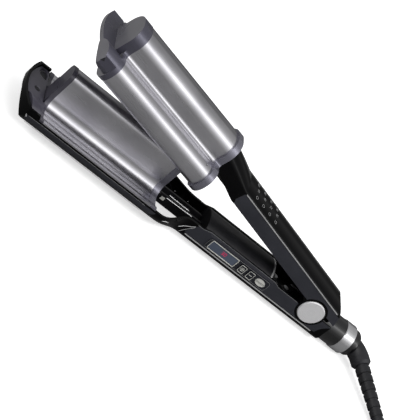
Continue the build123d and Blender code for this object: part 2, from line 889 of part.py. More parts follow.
# A plane square to the relief, so far along it from the bend.
def along_relief(distance):
    return Plane(origin=bend + heading * distance, z_dir=heading)


def relief_radius(distance):
    share = (distance - ribs_start) / (relief_length - ribs_start)
    return relief_r1 + share * (relief_r2 - relief_r1)


ribs_start = relief_length - rib_count * relief_rib
neck_end = ribs_start - 2
with BuildPart() as strain_relief:
    with BuildLine() as elbow_line:
        FilletPolyline((swivel_start, 0, swivel_z), bend, bend + heading * neck_end, radius=[relief_bend_r])
    with BuildSketch(outlet(swivel_start)):
        Circle(relief_r0)
    sweep(path=elbow_line.wires()[0])
    with BuildSketch(along_relief(neck_end)):
        Circle(relief_r0)
    with BuildSketch(along_relief(ribs_start)):
        Circle(relief_r1)
    loft()
    with BuildSketch(along_relief(ribs_start)):
        Circle(relief_r1 - rib_deep)
    with BuildSketch(along_relief(relief_length)):
        Circle(relief_r2 - rib_deep / 2)
    loft()
    for i in range(rib_count):
        rib = ribs_start + (i + 1) * relief_rib
        with BuildSketch(along_relief(rib)):
            Circle(relief_radius(rib))
        extrude(amount=-rib_long)
    add(swivel_end, mode=Mode.SUBTRACT)
write(strain_relief, "strain_relief", lower_pose)

# mains cord: a short free run, a stored coil, and a tail with its plug
cord_route = [
    relief_end,
    Vector(97.0, -77.5, cord_z),
    Vector(109.5, -90.5, cord_z),
    Vector(124.0, -99.0, cord_z),
    Vector(143.0, -101.0, cord_z),
]
tail_route = [
    Vector(189.0, -92.2, cord_z),
    Vector(210.0, -84.0, cord_z),
    Vector(222.0, -69.5, cord_z),
    Vector(226.0, -50.0, cord_z),
]


# The largest arcs that the runs of a route leave room for.
def arcs(route):
    radii = []
    for before, here, after in zip(route, route[1:], route[2:]):
        turn = (here - before).get_angle(after - here)
        run = min((here - before).length, (after - here).length)
        radii.append(0.45 * run / tan(radians(turn / 2)))
    return radii


with BuildPart() as cord_coil:
    with BuildSketch(Plane.XZ):
        with Locations((coil_r, arm_floor + coil_high / 2)):
            RectangleRounded(coil_wide, coil_high, coil_corner)
    revolve(axis=Axis.Z)
coil_pose = lower_pose * Location((coil_x, coil_y, 0))
placed_coil = Location((coil_x, coil_y, 0)) * cord_coil.part
write(cord_coil, "cord_coil", coil_pose)

for name, route in (("cord", cord_route), ("cord_tail", tail_route)):
    with BuildPart() as tube:
        with BuildLine() as path:
            FilletPolyline(*route, radius=arcs(route))
        with BuildSketch(Plane(origin=path.wires()[0] @ 0, z_dir=path.wires()[0] % 0)):
            Circle(cord_d / 2)
        sweep(path=path.wires()[0])
        add(placed_coil, mode=Mode.SUBTRACT)
        add(strain_relief, mode=Mode.SUBTRACT)
    write(tube, name, lower_pose)

# two-pin mains plug at the end of the tail
plug_way = (tail_route[-1] - tail_route[-2]).normalized()
plug_z = arm_floor + plug_high / 2
plug_neck = 24.0
plug_nose = 10.0


def along_plug(distance, z):
    spot = tail_route[-1] + plug_way * distance
    return Plane(origin=(spot.X, spot.Y, z), x_dir=(plug_way.Y, -plug_way.X, 0), z_dir=plug_way)


with BuildPart() as plug:
    with BuildSketch(along_plug(0, arm_floor + 4.6)):
        Circle(4.5)
    with BuildSketch(along_plug(plug_neck, plug_z - 0.4)):
        RectangleRounded(plug_wide - 9, plug_high - 1, 5.5)
    loft()
    with BuildSketch(along_plug(plug_neck, plug_z - 0.4)):
        RectangleRounded(plug_wide - 9, plug_high - 1, 5.5)
    with BuildSketch(along_plug(plug_neck + plug_nose, plug_z)):
        RectangleRounded(plug_wide, plug_high, 6)
    loft()
    with BuildSketch(along_plug(plug_neck + plug_nose, plug_z)):
        RectangleRounded(plug_wide, plug_high, 6)
    extrude(amount=plug_body - plug_nose)
write(plug, "plug", lower_pose)

with BuildPart() as plug_pins:
    with BuildSketch(along_plug(plug_neck + plug_body, plug_z)):
        with Locations((-pin_span / 2, 0), (pin_span / 2, 0)):
            Circle(2)
    extrude(amount=pin_length)
    chamfer(plug_pins.faces().sort_by(Axis.Y)[-2:].edges(), 0.8)
write(plug_pins, "plug_pins", lower_pose)

# Upper arm. The barrel pieces are drawn in the barrel's frame and the handle
# pieces in the handle's own, which is raked a little further open.
knuckle_out = handle_half - ear_thick - fit_gap
knuckle_in = knuckle_out - knuckle_thick
upper_seat_half = handle_half - wall - fit_gap


# The upper casing as a solid, shrunk by inset, with its side view as a limit.
def upper_form(inset, drop):
    with BuildPart() as form:
        with BuildSketch(across(-neck_barrel - 0.2)):
            add(casing_section(dome_half - inset, dome_rim - drop, dome_belt, dome_crown - inset))
        with BuildSketch(across(-(neck_barrel + neck_handle) / 2)):
            half = (dome_half + handle_half) / 2 - inset
            add(casing_section(half, (dome_rim + upper_rim) / 2 - drop, 15.6, 22.6 - inset))
        with BuildSketch(across(-neck_handle)):
            add(casing_section(handle_half - inset, upper_rim - drop, upper_belt, upper_crown - inset))
        loft()
        with BuildSketch(across(-neck_handle)):
            add(casing_section(handle_half - inset, upper_rim - drop, upper_belt, upper_crown - inset))
        extrude(amount=neck_handle + tail)
        with BuildSketch(beside(2 * barrel_half)):
            with BuildLine():
                Polyline(
                    (upper_tail_belt - inset, upper_belt),
                    (upper_tail - inset, upper_tail_rim),
                    (upper_tail - inset, upper_rim - 30),
                    (-2 * neck_barrel, upper_rim - 30),
                    (-2 * neck_barrel, 2 * dome_crown),
                    (0, 2 * dome_crown),
                    (6 - inset, upper_crown + 1),
                )
                ThreePointArc(
                    (6 - inset, upper_crown + 1), (12.4 - inset, upper_crown - 1.6), (upper_tail_belt - inset, upper_belt)
                )
            make_face()
        extrude(amount=4 * barrel_half, mode=Mode.INTERSECT)
    return form.part


def upper_strip_outline(inset):
    low = upper_rim + inset
    high = upper_belt - inset
    with BuildSketch() as outline:
        with BuildLine():
            Polyline(
                (-strip_start + inset, low + 3),
                (-strip_start + inset, high),
                (upper_tail_belt - inset, high),
                (upper_tail - inset, upper_tail_rim + inset),
                (0, upper_tail_rim + inset),
                (0, low),
                (-strip_start + inset + 3, low),
                (-strip_start + inset, low + 3),
            )
        make_face()
        Circle(ear_r + move_gap, mode=Mode.SUBTRACT)
    return outline.sketch


upper_screw_places = ((-104.0, 0), (-30.0, 0))
notch_half = 9.0
notch_top = 9.2
vent_places = [(-79.2 - 8.1 * i, -9.9 + 6.6 * j) for i in range(4) for j in range(4)]
accent_z = upper_belt + 0.5
with BuildPart() as upper_casing:
    add(upper_form(0, 0))
    add(upper_form(wall, 20), mode=Mode.SUBTRACT)
    with BuildSketch(beside(handle_half + 1)):
        Circle(ear_r + move_gap)
        Polygon((0, 0), (40, 0), (40, upper_tail_rim), (0, upper_tail_rim), align=None)
    extrude(amount=2 * handle_half + 2, mode=Mode.SUBTRACT)
    with BuildSketch(beside(notch_half)):
        Polygon((0, 0), (40, 0), (40, notch_top), (0, notch_top), align=None)
    extrude(amount=2 * notch_half, mode=Mode.SUBTRACT)
    for side in (1, -1):
        with BuildSketch(beside(side * (handle_half - strip))):
            add(upper_strip_outline(0))
        extrude(amount=-side * 6, mode=Mode.SUBTRACT)
    with BuildSketch(Plane.XY.offset(upper_belt - 2)):
        with Locations(*vent_places):
            Circle(1.1)
    extrude(amount=20, mode=Mode.SUBTRACT)
    with BuildSketch(Plane.XY.offset(upper_rim + 3)):
        with Locations(*upper_screw_places):
            Circle(3)
            Circle(screw_r + fit_gap, mode=Mode.SUBTRACT)
    extrude(amount=upper_crown - wall + 0.4 - upper_rim - 3)
write(upper_casing, "upper_casing", handle_pose)

with BuildPart() as upper_inner_cover:
    with BuildSketch(across(-neck_handle)):
        with BuildLine():
            Polyline(
                (-upper_seat_half, upper_rim),
                (-upper_seat_half + 2.6, upper_rim),
                (-upper_seat_half + 4.0, upper_rim + 1.2),
                (0, upper_rim + 1.2),
                (0, upper_rim + 2.8),
                (-upper_seat_half, upper_rim + 2.8),
                (-upper_seat_half, upper_rim),
            )
            mirror(about=Plane.YZ)
        make_face()
    extrude(amount=neck_handle - 17)
    with BuildSketch(Plane.XY.offset(upper_rim)):
        with Locations(*upper_screw_places):
            Circle(screw_r + fit_gap)
    extrude(amount=5, mode=Mode.SUBTRACT)
write(upper_inner_cover, "upper_inner_cover", handle_pose)

for name, side in (("upper_strip_front", -1), ("upper_strip_back", 1)):
    with BuildPart() as upper_strip:
        with BuildSketch(beside(side * handle_half)):
            add(upper_strip_outline(fit_gap))
        extrude(amount=side * (strip - fit_gap / 3))
    write(upper_strip, name, handle_pose)

accent_cord_end = 11.5
for name, side in (("upper_accent_front", -1), ("upper_accent_back", 1)):
    with BuildPart() as upper_accent:
        with BuildSketch(beside(side * (handle_half + trim_proud))):
            with Locations(((accent_cord_end - accent_start) / 2, accent_z + fit_gap)):
                Rectangle(accent_start + accent_cord_end, trim_high - fit_gap)
        extrude(amount=side * (trim_proud + 0.8))
        add(upper_form(0, 0), mode=Mode.SUBTRACT)
    write(upper_accent, name, handle_pose)

# hinge knuckles on a bridge that is fixed inside the upper casing
bridge_low = 7.6
with BuildPart() as upper_hinge_bridge:
    for side in (1, -1):
        with BuildSketch(beside(side * knuckle_out)):
            Circle(knuckle_r)
            with Locations((-3, knuckle_r)):
                Rectangle(2 * knuckle_r - 4, 8)
            Circle(pin_r + running, mode=Mode.SUBTRACT)
        extrude(amount=side * knuckle_thick)
    with BuildSketch(beside(knuckle_out)):
        with Locations((-16, bridge_low)):
            Rectangle(25, 4, align=(Align.MIN, Align.MIN))
    extrude(amount=2 * knuckle_out)
    with BuildSketch(beside(-3)):
        with Locations((-15.6, 2.4)):
            Rectangle(2.6, 6, align=(Align.MIN, Align.MIN))
    extrude(amount=5)
write(upper_hinge_bridge, "upper_hinge_bridge", handle_pose)

# wave barrel: a closed metal section with its heater in the hump
with BuildPart() as upper_wave_barrel:
    with BuildSketch(across(-upper_plate_tip)):
        add(wave_profile(0))
        add(wave_profile(sheet), mode=Mode.SUBTRACT)
    extrude(amount=upper_plate_tip - upper_plate_cord)
write(upper_wave_barrel, "upper_wave_barrel", upper_pose)

# The neck rim's section, proud of the barrel outside and flush in the channel.
def neck_rim_profile():
    foot = trough + hair_gap - rim_proud
    with BuildSketch() as profile:
        add(wave_profile(-neck_proud))
        with Locations((0, ridge_top + 3)):
            Rectangle(2 * hump_half - 3, 60, align=(Align.CENTER, Align.MAX), mode=Mode.SUBTRACT)
        with Locations((0, foot)):
            Rectangle(3 * barrel_half, 30, align=(Align.CENTER, Align.MAX), mode=Mode.SUBTRACT)
        add(wave_profile(-rim_proud))
    return profile.sketch


with BuildPart() as upper_neck_rim:
    with BuildSketch(across(-upper_plate_cord)):
        add(neck_rim_profile())
        add(wave_profile(sheet), mode=Mode.SUBTRACT)
    extrude(amount=rim_length)
    with BuildSketch(across(-upper_plate_cord + rim_length - wall)):
        add(wave_profile(sheet / 2))
        for side in (-1, 1):
            with Locations((side * (barrel_half + ridge_half) / 2, shoulder / 3)):
                Circle(4, mode=Mode.SUBTRACT)
    extrude(amount=wall)
write(upper_neck_rim, "upper_neck_rim", upper_pose)

# Upper tip: a rim and end wall, a hood over the lower ridge's end, a level
# bowed tab, and a rounded nose on the control side.
upper_tip_end = upper_plate_tip + 4.0  # end face of the lobes
hood_inside = tip_step + 1.2
hood_end = hood_inside + 1.4
upper_tip_reach = tip_reach - 2
upper_tip_bow = tip_bow - 1
tab_top = 12.3
tab_thick = 3.0
nose_low = 1.9
nose_r = 8.1
nose_y = barrel_half + rim_proud - nose_r
nose_start = tip_reach - 14.0


def upper_tip_plan(cord_end):
    return tip_plan(barrel_half, upper_tip_reach, upper_tip_bow, cord_end)


# The hump's section above the tab, over the channel.
def hood_profile():
    with BuildSketch() as profile:
        add(wave_profile(-rim_proud))
        with Locations((0, tab_top - tab_thick)):
            Rectangle(2 * hump_half + 2 * rim_proud, 60, align=(Align.CENTER, Align.MIN), mode=Mode.INTERSECT)
    return profile.sketch


with BuildPart() as upper_nose:
    with BuildSketch(across(-upper_tip_reach)):
        with Locations((-nose_y, shoulder - nose_r)):
            Circle(nose_r)
    extrude(amount=upper_tip_reach - upper_tip_end + 0.5)
    with BuildSketch(beside(barrel_half)):
        with BuildLine():
            nose_tip = -upper_tip_reach + 0.8
            Polyline(
                (-nose_start, nose_low),
                (-upper_plate_tip, nose_low),
                (-upper_plate_tip, shoulder + 1),
                (nose_tip + 3, shoulder + 1),
            )
            ThreePointArc((nose_tip + 3, shoulder + 1), (nose_tip + 0.9, shoulder - 1), (nose_tip, tab_top))
            ThreePointArc((nose_tip, tab_top), (nose_tip + 3.8, 5.6), (-nose_start, nose_low))
        make_face()
    extrude(amount=2 * barrel_half, mode=Mode.INTERSECT)
    with BuildSketch(Plane.XY):
        add(tip_plan(barrel_half + rim_proud, upper_tip_reach, upper_tip_bow, -upper_plate_tip))
    extrude(amount=2 * shoulder, mode=Mode.INTERSECT)
with BuildPart() as upper_tip_cap:
    add(upper_nose)
    with BuildSketch(across(-upper_tip_end)):
        add(wave_profile(-rim_proud))
    extrude(amount=1)
    with BuildSketch(across(1 - upper_tip_end)):
        add(wave_profile(-rim_proud))
        add(wave_profile(sheet), mode=Mode.SUBTRACT)
    extrude(amount=upper_tip_end - upper_plate_tip - 1)
    with BuildSketch(Plane.XY.offset(tab_top - tab_thick)):
        add(upper_tip_plan(-upper_tip_end))
    extrude(amount=tab_thick)
    with BuildSketch(across(-hood_end)):
        add(hood_profile())
    extrude(amount=hood_end - upper_tip_end)
    with BuildSketch(across(-hood_inside)):
        with Locations((0, tab_top - tab_thick - 1)):
            Rectangle(2 * (ridge_half + hair_gap - rim_proud), tab_thick + 3, align=(Align.CENTER, Align.MIN))
    extrude(amount=hood_inside - upper_tip_end, mode=Mode.SUBTRACT)
    with BuildSketch(across(-hood_end)):
        with Locations((0, tab_top - tab_thick)):
            Rectangle(2 * ridge_half + 4, ridge_top - tab_top + tab_thick + 2, align=(Align.CENTER, Align.MIN))
    extrude(amount=hood_end - hood_inside)
write(upper_tip_cap, "upper_tip_cap", upper_pose)

upper_heater_end = upper_plate_tip - 12
upper_heater_start = upper_plate_cord + 17
hump_floor = ridge_top + hair_gap + sheet
with BuildPart() as upper_heat_block:
    with BuildSketch(across(-upper_heater_end)):
        add(wave_profile(sheet + fit_gap))
        Rectangle(3 * barrel_half, 2 * (shoulder + 6), mode=Mode.SUBTRACT)
        with Locations((0, hump_floor + 1)):
            Rectangle(
                2 * heater_wide + 2 * fit_gap,
                heater_thick + fit_gap,
                align=(Align.CENTER, Align.MIN),
                mode=Mode.SUBTRACT,
            )
        with Locations((thermistor_y, hump_floor - 3)):
            Circle(thermistor_r + fit_gap, mode=Mode.SUBTRACT)
    extrude(amount=upper_heater_end - upper_heater_start)
write(upper_heat_block, "upper_heat_block", upper_pose)

with BuildPart() as upper_heater:
    with BuildSketch(across(fit_gap - upper_heater_end)):
        with Locations((0, hump_floor + 1)):
            Rectangle(2 * heater_wide, heater_thick, align=(Align.CENTER, Align.MIN))
    extrude(amount=upper_heater_end - upper_heater_start - 2 * fit_gap)
write(upper_heater, "upper_heater", upper_pose)

with BuildPart() as upper_thermistor:
    with BuildSketch(across(-upper_heater_start - 8)):
        with Locations((thermistor_y, hump_floor - 3)):
            Circle(thermistor_r)
    extrude(amount=11)
write(upper_thermistor, "upper_thermistor", upper_pose)

# cradle that ties the barrel's end wall to the handle under the dome
cradle_half = 8.0
cradle_low = 3.0
with BuildPart() as upper_neck_cradle:
    with BuildSketch(across(fit_gap - neck_barrel)):
        with Locations((0, cradle_low)):
            Rectangle(2 * cradle_half, 40, align=(Align.CENTER, Align.MIN))
        with Locations((0, cradle_low + 1.6)):
            Rectangle(2 * cradle_half - 3.2, 40, align=(Align.CENTER, Align.MIN), mode=Mode.SUBTRACT)
    extrude(amount=neck_barrel - neck_handle - 1)
    with BuildSketch(beside(2 * cradle_half)):
        Polygon(
            (-2 * neck_barrel, cradle_low - 5),
            (-neck_handle - 9, cradle_low - 5),
            (-neck_handle, cradle_low + 9),
            (-neck_handle, cradle_low + 11),
            (-neck_barrel, cradle_low + 16),
            (-2 * neck_barrel, cradle_low + 16),
            align=None,
        )
    extrude(amount=4 * cradle_half, mode=Mode.INTERSECT)
    add(upper_form(wall + fit_gap, 20), mode=Mode.INTERSECT)
write(upper_neck_cradle, "upper_neck_cradle", handle_pose)

with BuildPart() as upper_screws:
    for x, y in upper_screw_places:
        with Locations((x, y, upper_rim + 1.2 - fit_gap)):
            Cylinder(2.3, 1.2, align=(Align.CENTER, Align.CENTER, Align.MAX))
            Cylinder(screw_r, 8, align=(Align.CENTER, Align.CENTER, Align.MIN))
write(upper_screws, "upper_screws", handle_pose)
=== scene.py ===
import json
import math

import bmesh
import bpy
from mathutils import Euler, Matrix, Vector


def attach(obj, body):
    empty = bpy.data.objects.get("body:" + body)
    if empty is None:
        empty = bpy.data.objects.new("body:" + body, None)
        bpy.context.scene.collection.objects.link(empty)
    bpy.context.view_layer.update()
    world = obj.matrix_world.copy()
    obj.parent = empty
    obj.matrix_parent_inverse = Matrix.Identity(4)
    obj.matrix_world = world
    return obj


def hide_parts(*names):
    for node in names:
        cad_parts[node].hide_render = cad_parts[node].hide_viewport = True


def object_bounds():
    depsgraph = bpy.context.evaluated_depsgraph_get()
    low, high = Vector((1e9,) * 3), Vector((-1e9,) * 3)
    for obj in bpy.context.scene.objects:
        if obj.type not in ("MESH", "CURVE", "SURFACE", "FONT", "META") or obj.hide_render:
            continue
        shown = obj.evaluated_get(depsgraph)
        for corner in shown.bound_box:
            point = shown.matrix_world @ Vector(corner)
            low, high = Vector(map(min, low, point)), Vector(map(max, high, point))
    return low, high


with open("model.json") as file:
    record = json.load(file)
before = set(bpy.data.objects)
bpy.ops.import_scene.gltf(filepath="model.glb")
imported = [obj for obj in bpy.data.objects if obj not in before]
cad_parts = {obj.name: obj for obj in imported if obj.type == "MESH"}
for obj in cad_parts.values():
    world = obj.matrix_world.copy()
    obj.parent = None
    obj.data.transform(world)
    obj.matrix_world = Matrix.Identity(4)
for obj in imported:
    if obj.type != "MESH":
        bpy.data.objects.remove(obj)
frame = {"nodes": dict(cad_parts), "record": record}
cadLow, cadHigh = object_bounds()
nodes = frame["nodes"]
mm = 0.001
print("frame loaded:", len(nodes), "nodes")

# the hinge axis, and how the upper arm's barrel and handle stand open on it
hinge = Vector((0.107, 0, 0.0204))
lowerPlace = Matrix.Translation(hinge)
upperTilt = math.radians(11.5)
handleTilt = math.radians(14.0)
upperPlace = lowerPlace @ Matrix.Rotation(upperTilt, 4, "Y")
handlePlace = lowerPlace @ Matrix.Rotation(handleTilt, 4, "Y")


def linear(hexColour):
    # one sRGB hex value to the linear colour that shaders take
    parts = [int(hexColour[i : i + 2], 16) / 255 for i in (1, 3, 5)]
    return tuple(c / 12.92 if c <= 0.04045 else ((c + 0.055) / 1.055) ** 2.4 for c in parts) + (1.0,)


def addNode(tree, kind, settings=None, links=None):
    # settings name attributes or input sockets, links name input sockets and give an output
    node = tree.nodes.new(kind)
    for name, value in (settings or {}).items():
        if isinstance(name, int) or (name in node.inputs and not hasattr(node, name)):
            node.inputs[name].default_value = value
        else:
            setattr(node, name, value)
    for name, output in (links or {}).items():
        tree.links.new(output, node.inputs[name])
    return node


# the camera looks down on the waver, which is shown tips up, across the frame
cameraView = dict(
    place=(-0.4297, -0.8704, 0.5281),
    azimuth=-26.30,
    elevation=27.32,
    roll=51.11,
    lens=135.4,
    sensor=36.0,
)


def makeCamera():
    azimuth = math.radians(cameraView["azimuth"])
    rise = math.radians(cameraView["elevation"])
    back = Vector((math.sin(azimuth) * math.cos(rise), -math.cos(azimuth) * math.cos(rise), math.sin(rise)))
    camera = bpy.data.objects.new("camera", bpy.data.cameras.new("camera"))
    bpy.context.scene.collection.objects.link(camera)
    camera.data.lens = cameraView["lens"]
    camera.data.sensor_width = cameraView["sensor"]
    camera.data.clip_end = 20
    camera.location = cameraView["place"]
    camera.rotation_mode = "QUATERNION"
    level = (-back).to_track_quat("-Z", "Y")
    camera.rotation_quaternion = level @ Euler((0, 0, math.radians(cameraView["roll"]))).to_quaternion()
    bpy.context.scene.camera = camera


stage = dict(
    floorSize=14.0,
    floorSeen="#f2f2f2",
    floorBounce="#8f8f8f",  # the darker floor that the waver itself is lit by and mirrors
    worldColour="#ffffff",
    worldLight=0.36,  # what matt surfaces get from the room
    # what shiny surfaces see, by the angle in degrees from behind, up over the waver and down to the front
    softbox=[
        (0, 0.06), (12, 0.09), (30, 0.33), (60, 0.36), (85, 0.46), (106, 0.72), (118, 1.4),
        (124, 2.4), (127, 3.0), (130, 2.4), (137, 1.5), (152, 0.8), (166, 0.42), (180, 0.38),
    ],
)

# place, size, what it aims at, watts
lamps = dict(
    frontStrip=((0.45, -0.60, 0.95), (1.6, 0.30), (0.1, 0, 0.03), 8.0),
    topStrip=((0.45, -0.02, 1.25), (1.6, 0.30), (0.1, 0, 0.03), 3.0),
    backStrip=((0.45, 1.05, 0.42), (1.6, 0.20), (0.1, 0, 0.05), 1.5),
    tipPanel=((-1.10, -0.15, 0.55), (0.5, 0.30), (-0.10, 0, 0.05), 2.4),
)


def makeStage():
    world = bpy.data.worlds.new("room")
    bpy.context.scene.world = world
    world.use_nodes = True
    tree = world.node_tree
    tree.nodes.clear()
    path = addNode(tree, "ShaderNodeLightPath")
    white = linear(stage["worldColour"])
    place = addNode(tree, "ShaderNodeTexCoord")
    way = addNode(tree, "ShaderNodeSeparateXYZ", {}, {0: place.outputs["Generated"]})
    around = addNode(
        tree, "ShaderNodeMath", dict(operation="ARCTAN2"), {0: way.outputs["Z"], 1: way.outputs["Y"]}
    )
    share = addNode(tree, "ShaderNodeMath", {"operation": "DIVIDE", 1: math.pi}, {0: around.outputs[0]})
    softbox = addNode(tree, "ShaderNodeValToRGB", {}, {0: share.outputs[0]})
    ramp = softbox.color_ramp
    ramp.interpolation = "EASE"
    for angle, light in stage["softbox"][1:-1]:
        ramp.elements.new(angle / 180)
    for element, (angle, light) in zip(ramp.elements, stage["softbox"]):
        element.position = angle / 180
        element.color = (light, light, light, 1)
    room = addNode(tree, "ShaderNodeBackground", dict(Color=white, Strength=stage["worldLight"]))
    shiny = addNode(tree, "ShaderNodeBackground", dict(Strength=1.0), {"Color": softbox.outputs["Color"]})
    seen = addNode(tree, "ShaderNodeBackground", dict(Color=white, Strength=1.0))
    sharp = addNode(
        tree,
        "ShaderNodeMath",
        dict(operation="MAXIMUM"),
        {0: path.outputs["Is Glossy Ray"], 1: path.outputs["Is Transmission Ray"]},
    )
    gloss = addNode(
        tree, "ShaderNodeMixShader", {}, {0: sharp.outputs[0], 1: room.outputs[0], 2: shiny.outputs[0]}
    )
    both = addNode(
        tree,
        "ShaderNodeMixShader",
        {},
        {0: path.outputs["Is Camera Ray"], 1: gloss.outputs[0], 2: seen.outputs[0]},
    )
    addNode(tree, "ShaderNodeOutputWorld", {}, {"Surface": both.outputs[0]})

    mesh = bpy.data.meshes.new("floor")
    half = stage["floorSize"] / 2
    mesh.from_pydata(
        [(-half, -half, 0), (half, -half, 0), (half, half, 0), (-half, half, 0)], [], [(0, 1, 2, 3)]
    )
    floor = bpy.data.objects.new("floor", mesh)
    floor.location.z = -0.0002
    bpy.context.scene.collection.objects.link(floor)
    paper = bpy.data.materials.new("paperSweep")  # matt white paper, which keeps a faint shadow
    paper.use_nodes = True
    tree = paper.node_tree
    tree.nodes.clear()
    path = addNode(tree, "ShaderNodeLightPath")
    matt = addNode(tree, "ShaderNodeBsdfDiffuse", dict(Color=linear(stage["floorBounce"])))
    white = addNode(tree, "ShaderNodeBsdfDiffuse", dict(Color=linear(stage["floorSeen"])))
    glow = addNode(tree, "ShaderNodeEmission", dict(Color=linear("#ffffff"), Strength=0.62))
    lit = addNode(tree, "ShaderNodeAddShader", {}, {0: white.outputs[0], 1: glow.outputs[0]})
    seen = addNode(
        tree,
        "ShaderNodeMixShader",
        {},
        {0: path.outputs["Is Camera Ray"], 1: matt.outputs[0], 2: lit.outputs[0]},
    )
    addNode(tree, "ShaderNodeOutputMaterial", {}, {"Surface": seen.outputs[0]})
    mesh.materials.append(paper)

    for name, (place, size, aim, watts) in lamps.items():
        light = bpy.data.lights.new(name, "AREA")
        light.shape = "RECTANGLE"
        light.size, light.size_y = size
        light.energy = watts
        lamp = bpy.data.objects.new(name, light)
        bpy.context.scene.collection.objects.link(lamp)
        lamp.location = place
        lamp.visible_glossy = False  # shiny surfaces see the room's soft box instead
        lamp.rotation_mode = "QUATERNION"
        lamp.rotation_quaternion = (Vector(aim) - Vector(place)).to_track_quat("-Z", "Y")


makeCamera()
makeStage()
print("camera, floor and lamps")


def newMaterial(name):
    material = bpy.data.materials.new(name)
    material.use_nodes = True
    material.node_tree.nodes.clear()
    return material, material.node_tree


def objectPlace(tree, turn=0.0, stretch=(1, 1, 1)):
    # Object coordinates in metres, turned back by an arm's tilt and stretched along a grain
    place = addNode(tree, "ShaderNodeTexCoord")
    level = addNode(
        tree,
        "ShaderNodeMapping",
        {"vector_type": "TEXTURE", "Location": hinge, "Rotation": (0, turn, 0)},
        {"Vector": place.outputs["Object"]},
    )
    grain = addNode(tree, "ShaderNodeMapping", {"Scale": stretch}, {"Vector": level.outputs[0]})
    return grain.outputs[0]


def spread(tree, source, low, high, start=0.3, end=0.7):
    # a pattern's middle values spread between two numbers
    return addNode(
        tree,
        "ShaderNodeMapRange",
        {"From Min": start, "From Max": end, "To Min": low, "To Max": high},
        {"Value": source},
    ).outputs["Result"]


def twoColours(tree, factor, first, second):
    return addNode(
        tree,
        "ShaderNodeMix",
        {"data_type": "RGBA", 6: linear(first), 7: linear(second)},
        {0: factor},
    ).outputs[2]


def finishShader(tree, settings, links):
    surface = addNode(tree, "ShaderNodeBsdfPrincipled", settings, links)
    addNode(tree, "ShaderNodeOutputMaterial", {}, {"Surface": surface.outputs[0]})


# Titanium-coated aluminium, extruded and polished along its length: a mid grey
# mirror, softened by fine long streaks.
platePolish = dict(
    dark="#bdbcc1",
    light="#cecdd1",
    rough=(0.27, 0.30),
    streakWide=1.1,  # mm, coarser than real polishing marks so that they show
    streakLong=70.0,
)


def platedAluminium(name, turn):
    material, tree = newMaterial(name)
    across = 1 / (platePolish["streakWide"] * mm)
    along = 1 / (platePolish["streakLong"] * mm)
    streak = addNode(
        tree,
        "ShaderNodeTexNoise",
        {"Scale": 1.0, "Detail": 4.0, "Roughness": 0.6},
        {"Vector": objectPlace(tree, turn, (along, across, across))},
    )
    cloud = addNode(
        tree, "ShaderNodeTexNoise", {"Scale": 1 / (28 * mm), "Detail": 2.0}, {"Vector": objectPlace(tree, turn)}
    )
    share = spread(tree, cloud.outputs[0], 0.0, 1.0)
    colour = twoColours(tree, share, platePolish["dark"], platePolish["light"])
    finishShader(
        tree,
        {"Metallic": 1.0},
        {"Base Color": colour, "Roughness": spread(tree, streak.outputs[0], *platePolish["rough"])},
    )
    return material


# Painted light and shade by facing: faces turned towards litFrom keep the lacquer's lighter colour, and faces
# turned away get the darker side colour as painted shade.
def shadeOnSides(tree, colour, finish):
    place = addNode(tree, "ShaderNodeTexCoord")
    facing = addNode(
        tree,
        "ShaderNodeVectorMath",
        {"operation": "DOT_PRODUCT", 1: finish["litFrom"]},
        {0: place.outputs["Normal"]},
    )
    # share of the lighter colour: painted light towards litFrom, painted shade away from it
    litShare = spread(tree, facing.outputs["Value"], 0.0, 1.0, 0.55, 0.9)
    mix = addNode(
        tree, "ShaderNodeMix", {"data_type": "RGBA", 6: linear(finish["sides"])}, {0: litShare, 7: colour}
    )
    return mix.outputs[2]


# One tree serves the moulded and painted pieces: a base colour that drifts
# slightly, a mould grain as bump, and polish worn a little uneven.
def mouldedFinish(name, finish, turn=0.0):
    material, tree = newMaterial(name)
    grain = addNode(
        tree,
        "ShaderNodeTexNoise",
        {"Scale": 1 / (finish["grain"] * mm), "Detail": 3.0, "Roughness": 0.55},
        {"Vector": objectPlace(tree, turn)},
    )
    drift = addNode(
        tree,
        "ShaderNodeTexNoise",
        {"Scale": 1 / (finish.get("drift", 22.0) * mm), "Detail": 4.0},
        {"Vector": objectPlace(tree, turn)},
    )
    colour = twoColours(tree, spread(tree, drift.outputs[0], 0.0, 1.0), finish["dark"], finish["light"])
    # painted shade on faces turned away, for a finish that gives a side colour
    if "sides" in finish:
        colour = shadeOnSides(tree, colour, finish)
    bump = addNode(
        tree,
        "ShaderNodeBump",
        {"Strength": finish.get("bumpStrength", 0.3), "Distance": finish["bump"] * mm},
        {"Height": grain.outputs[0]},
    )
    settings = {
        "Metallic": finish.get("metal", 0.0),
        "IOR": finish.get("ior", 1.5),
        "Coat Weight": finish.get("coat", 0.0),
        "Coat Roughness": finish.get("coatRough", 0.05),
    }
    if finish.get("metal", 0.0) == 1.0:
        settings.pop("IOR")
    finishShader(
        tree,
        settings,
        {
            "Base Color": colour,
            "Roughness": spread(tree, drift.outputs[0], *finish["rough"]),
            "Normal": bump.outputs[0],
        },
    )
    return material


# High-gloss ABS, moulded in a polished tool: near black with a wet shine and
# the faint ripple of a moulded wall.
glossAbs = dict(dark="#050506", light="#09090a", rough=(0.10, 0.14), grain=9.0, bump=0.012, ior=1.20)
# The same ABS with a clear top coat, on the collar and the swivel's end: a harder shine.
pianoLacquer = dict(
    dark="#060607", light="#0a0a0c", rough=(0.12, 0.16), grain=9.0, bump=0.008, ior=1.5, coat=0.5
)
# Soft-touch lacquer on ABS, sprayed: slate, satin, with a fine dry grain.
softLacquer = dict(dark="#292a31", light="#35363d", rough=(0.40, 0.50), grain=0.9, bump=0.03, ior=1.45)
# Glass-filled nylon from a spark-eroded mould: a blue grey satin that stands heat.
filledNylon = dict(dark="#403e47", light="#504e59", rough=(0.30, 0.40), grain=0.8, bump=0.03, ior=1.5, coat=0.2)
# Metallic lacquer under clear coat on the heat-proof rims: gun grey, glossy.
gunLacquer = dict(
    dark="#7b7a86", light="#8c8b97", rough=(0.22, 0.30), grain=0.7, bump=0.008, metal=0.65, coat=0.3
)
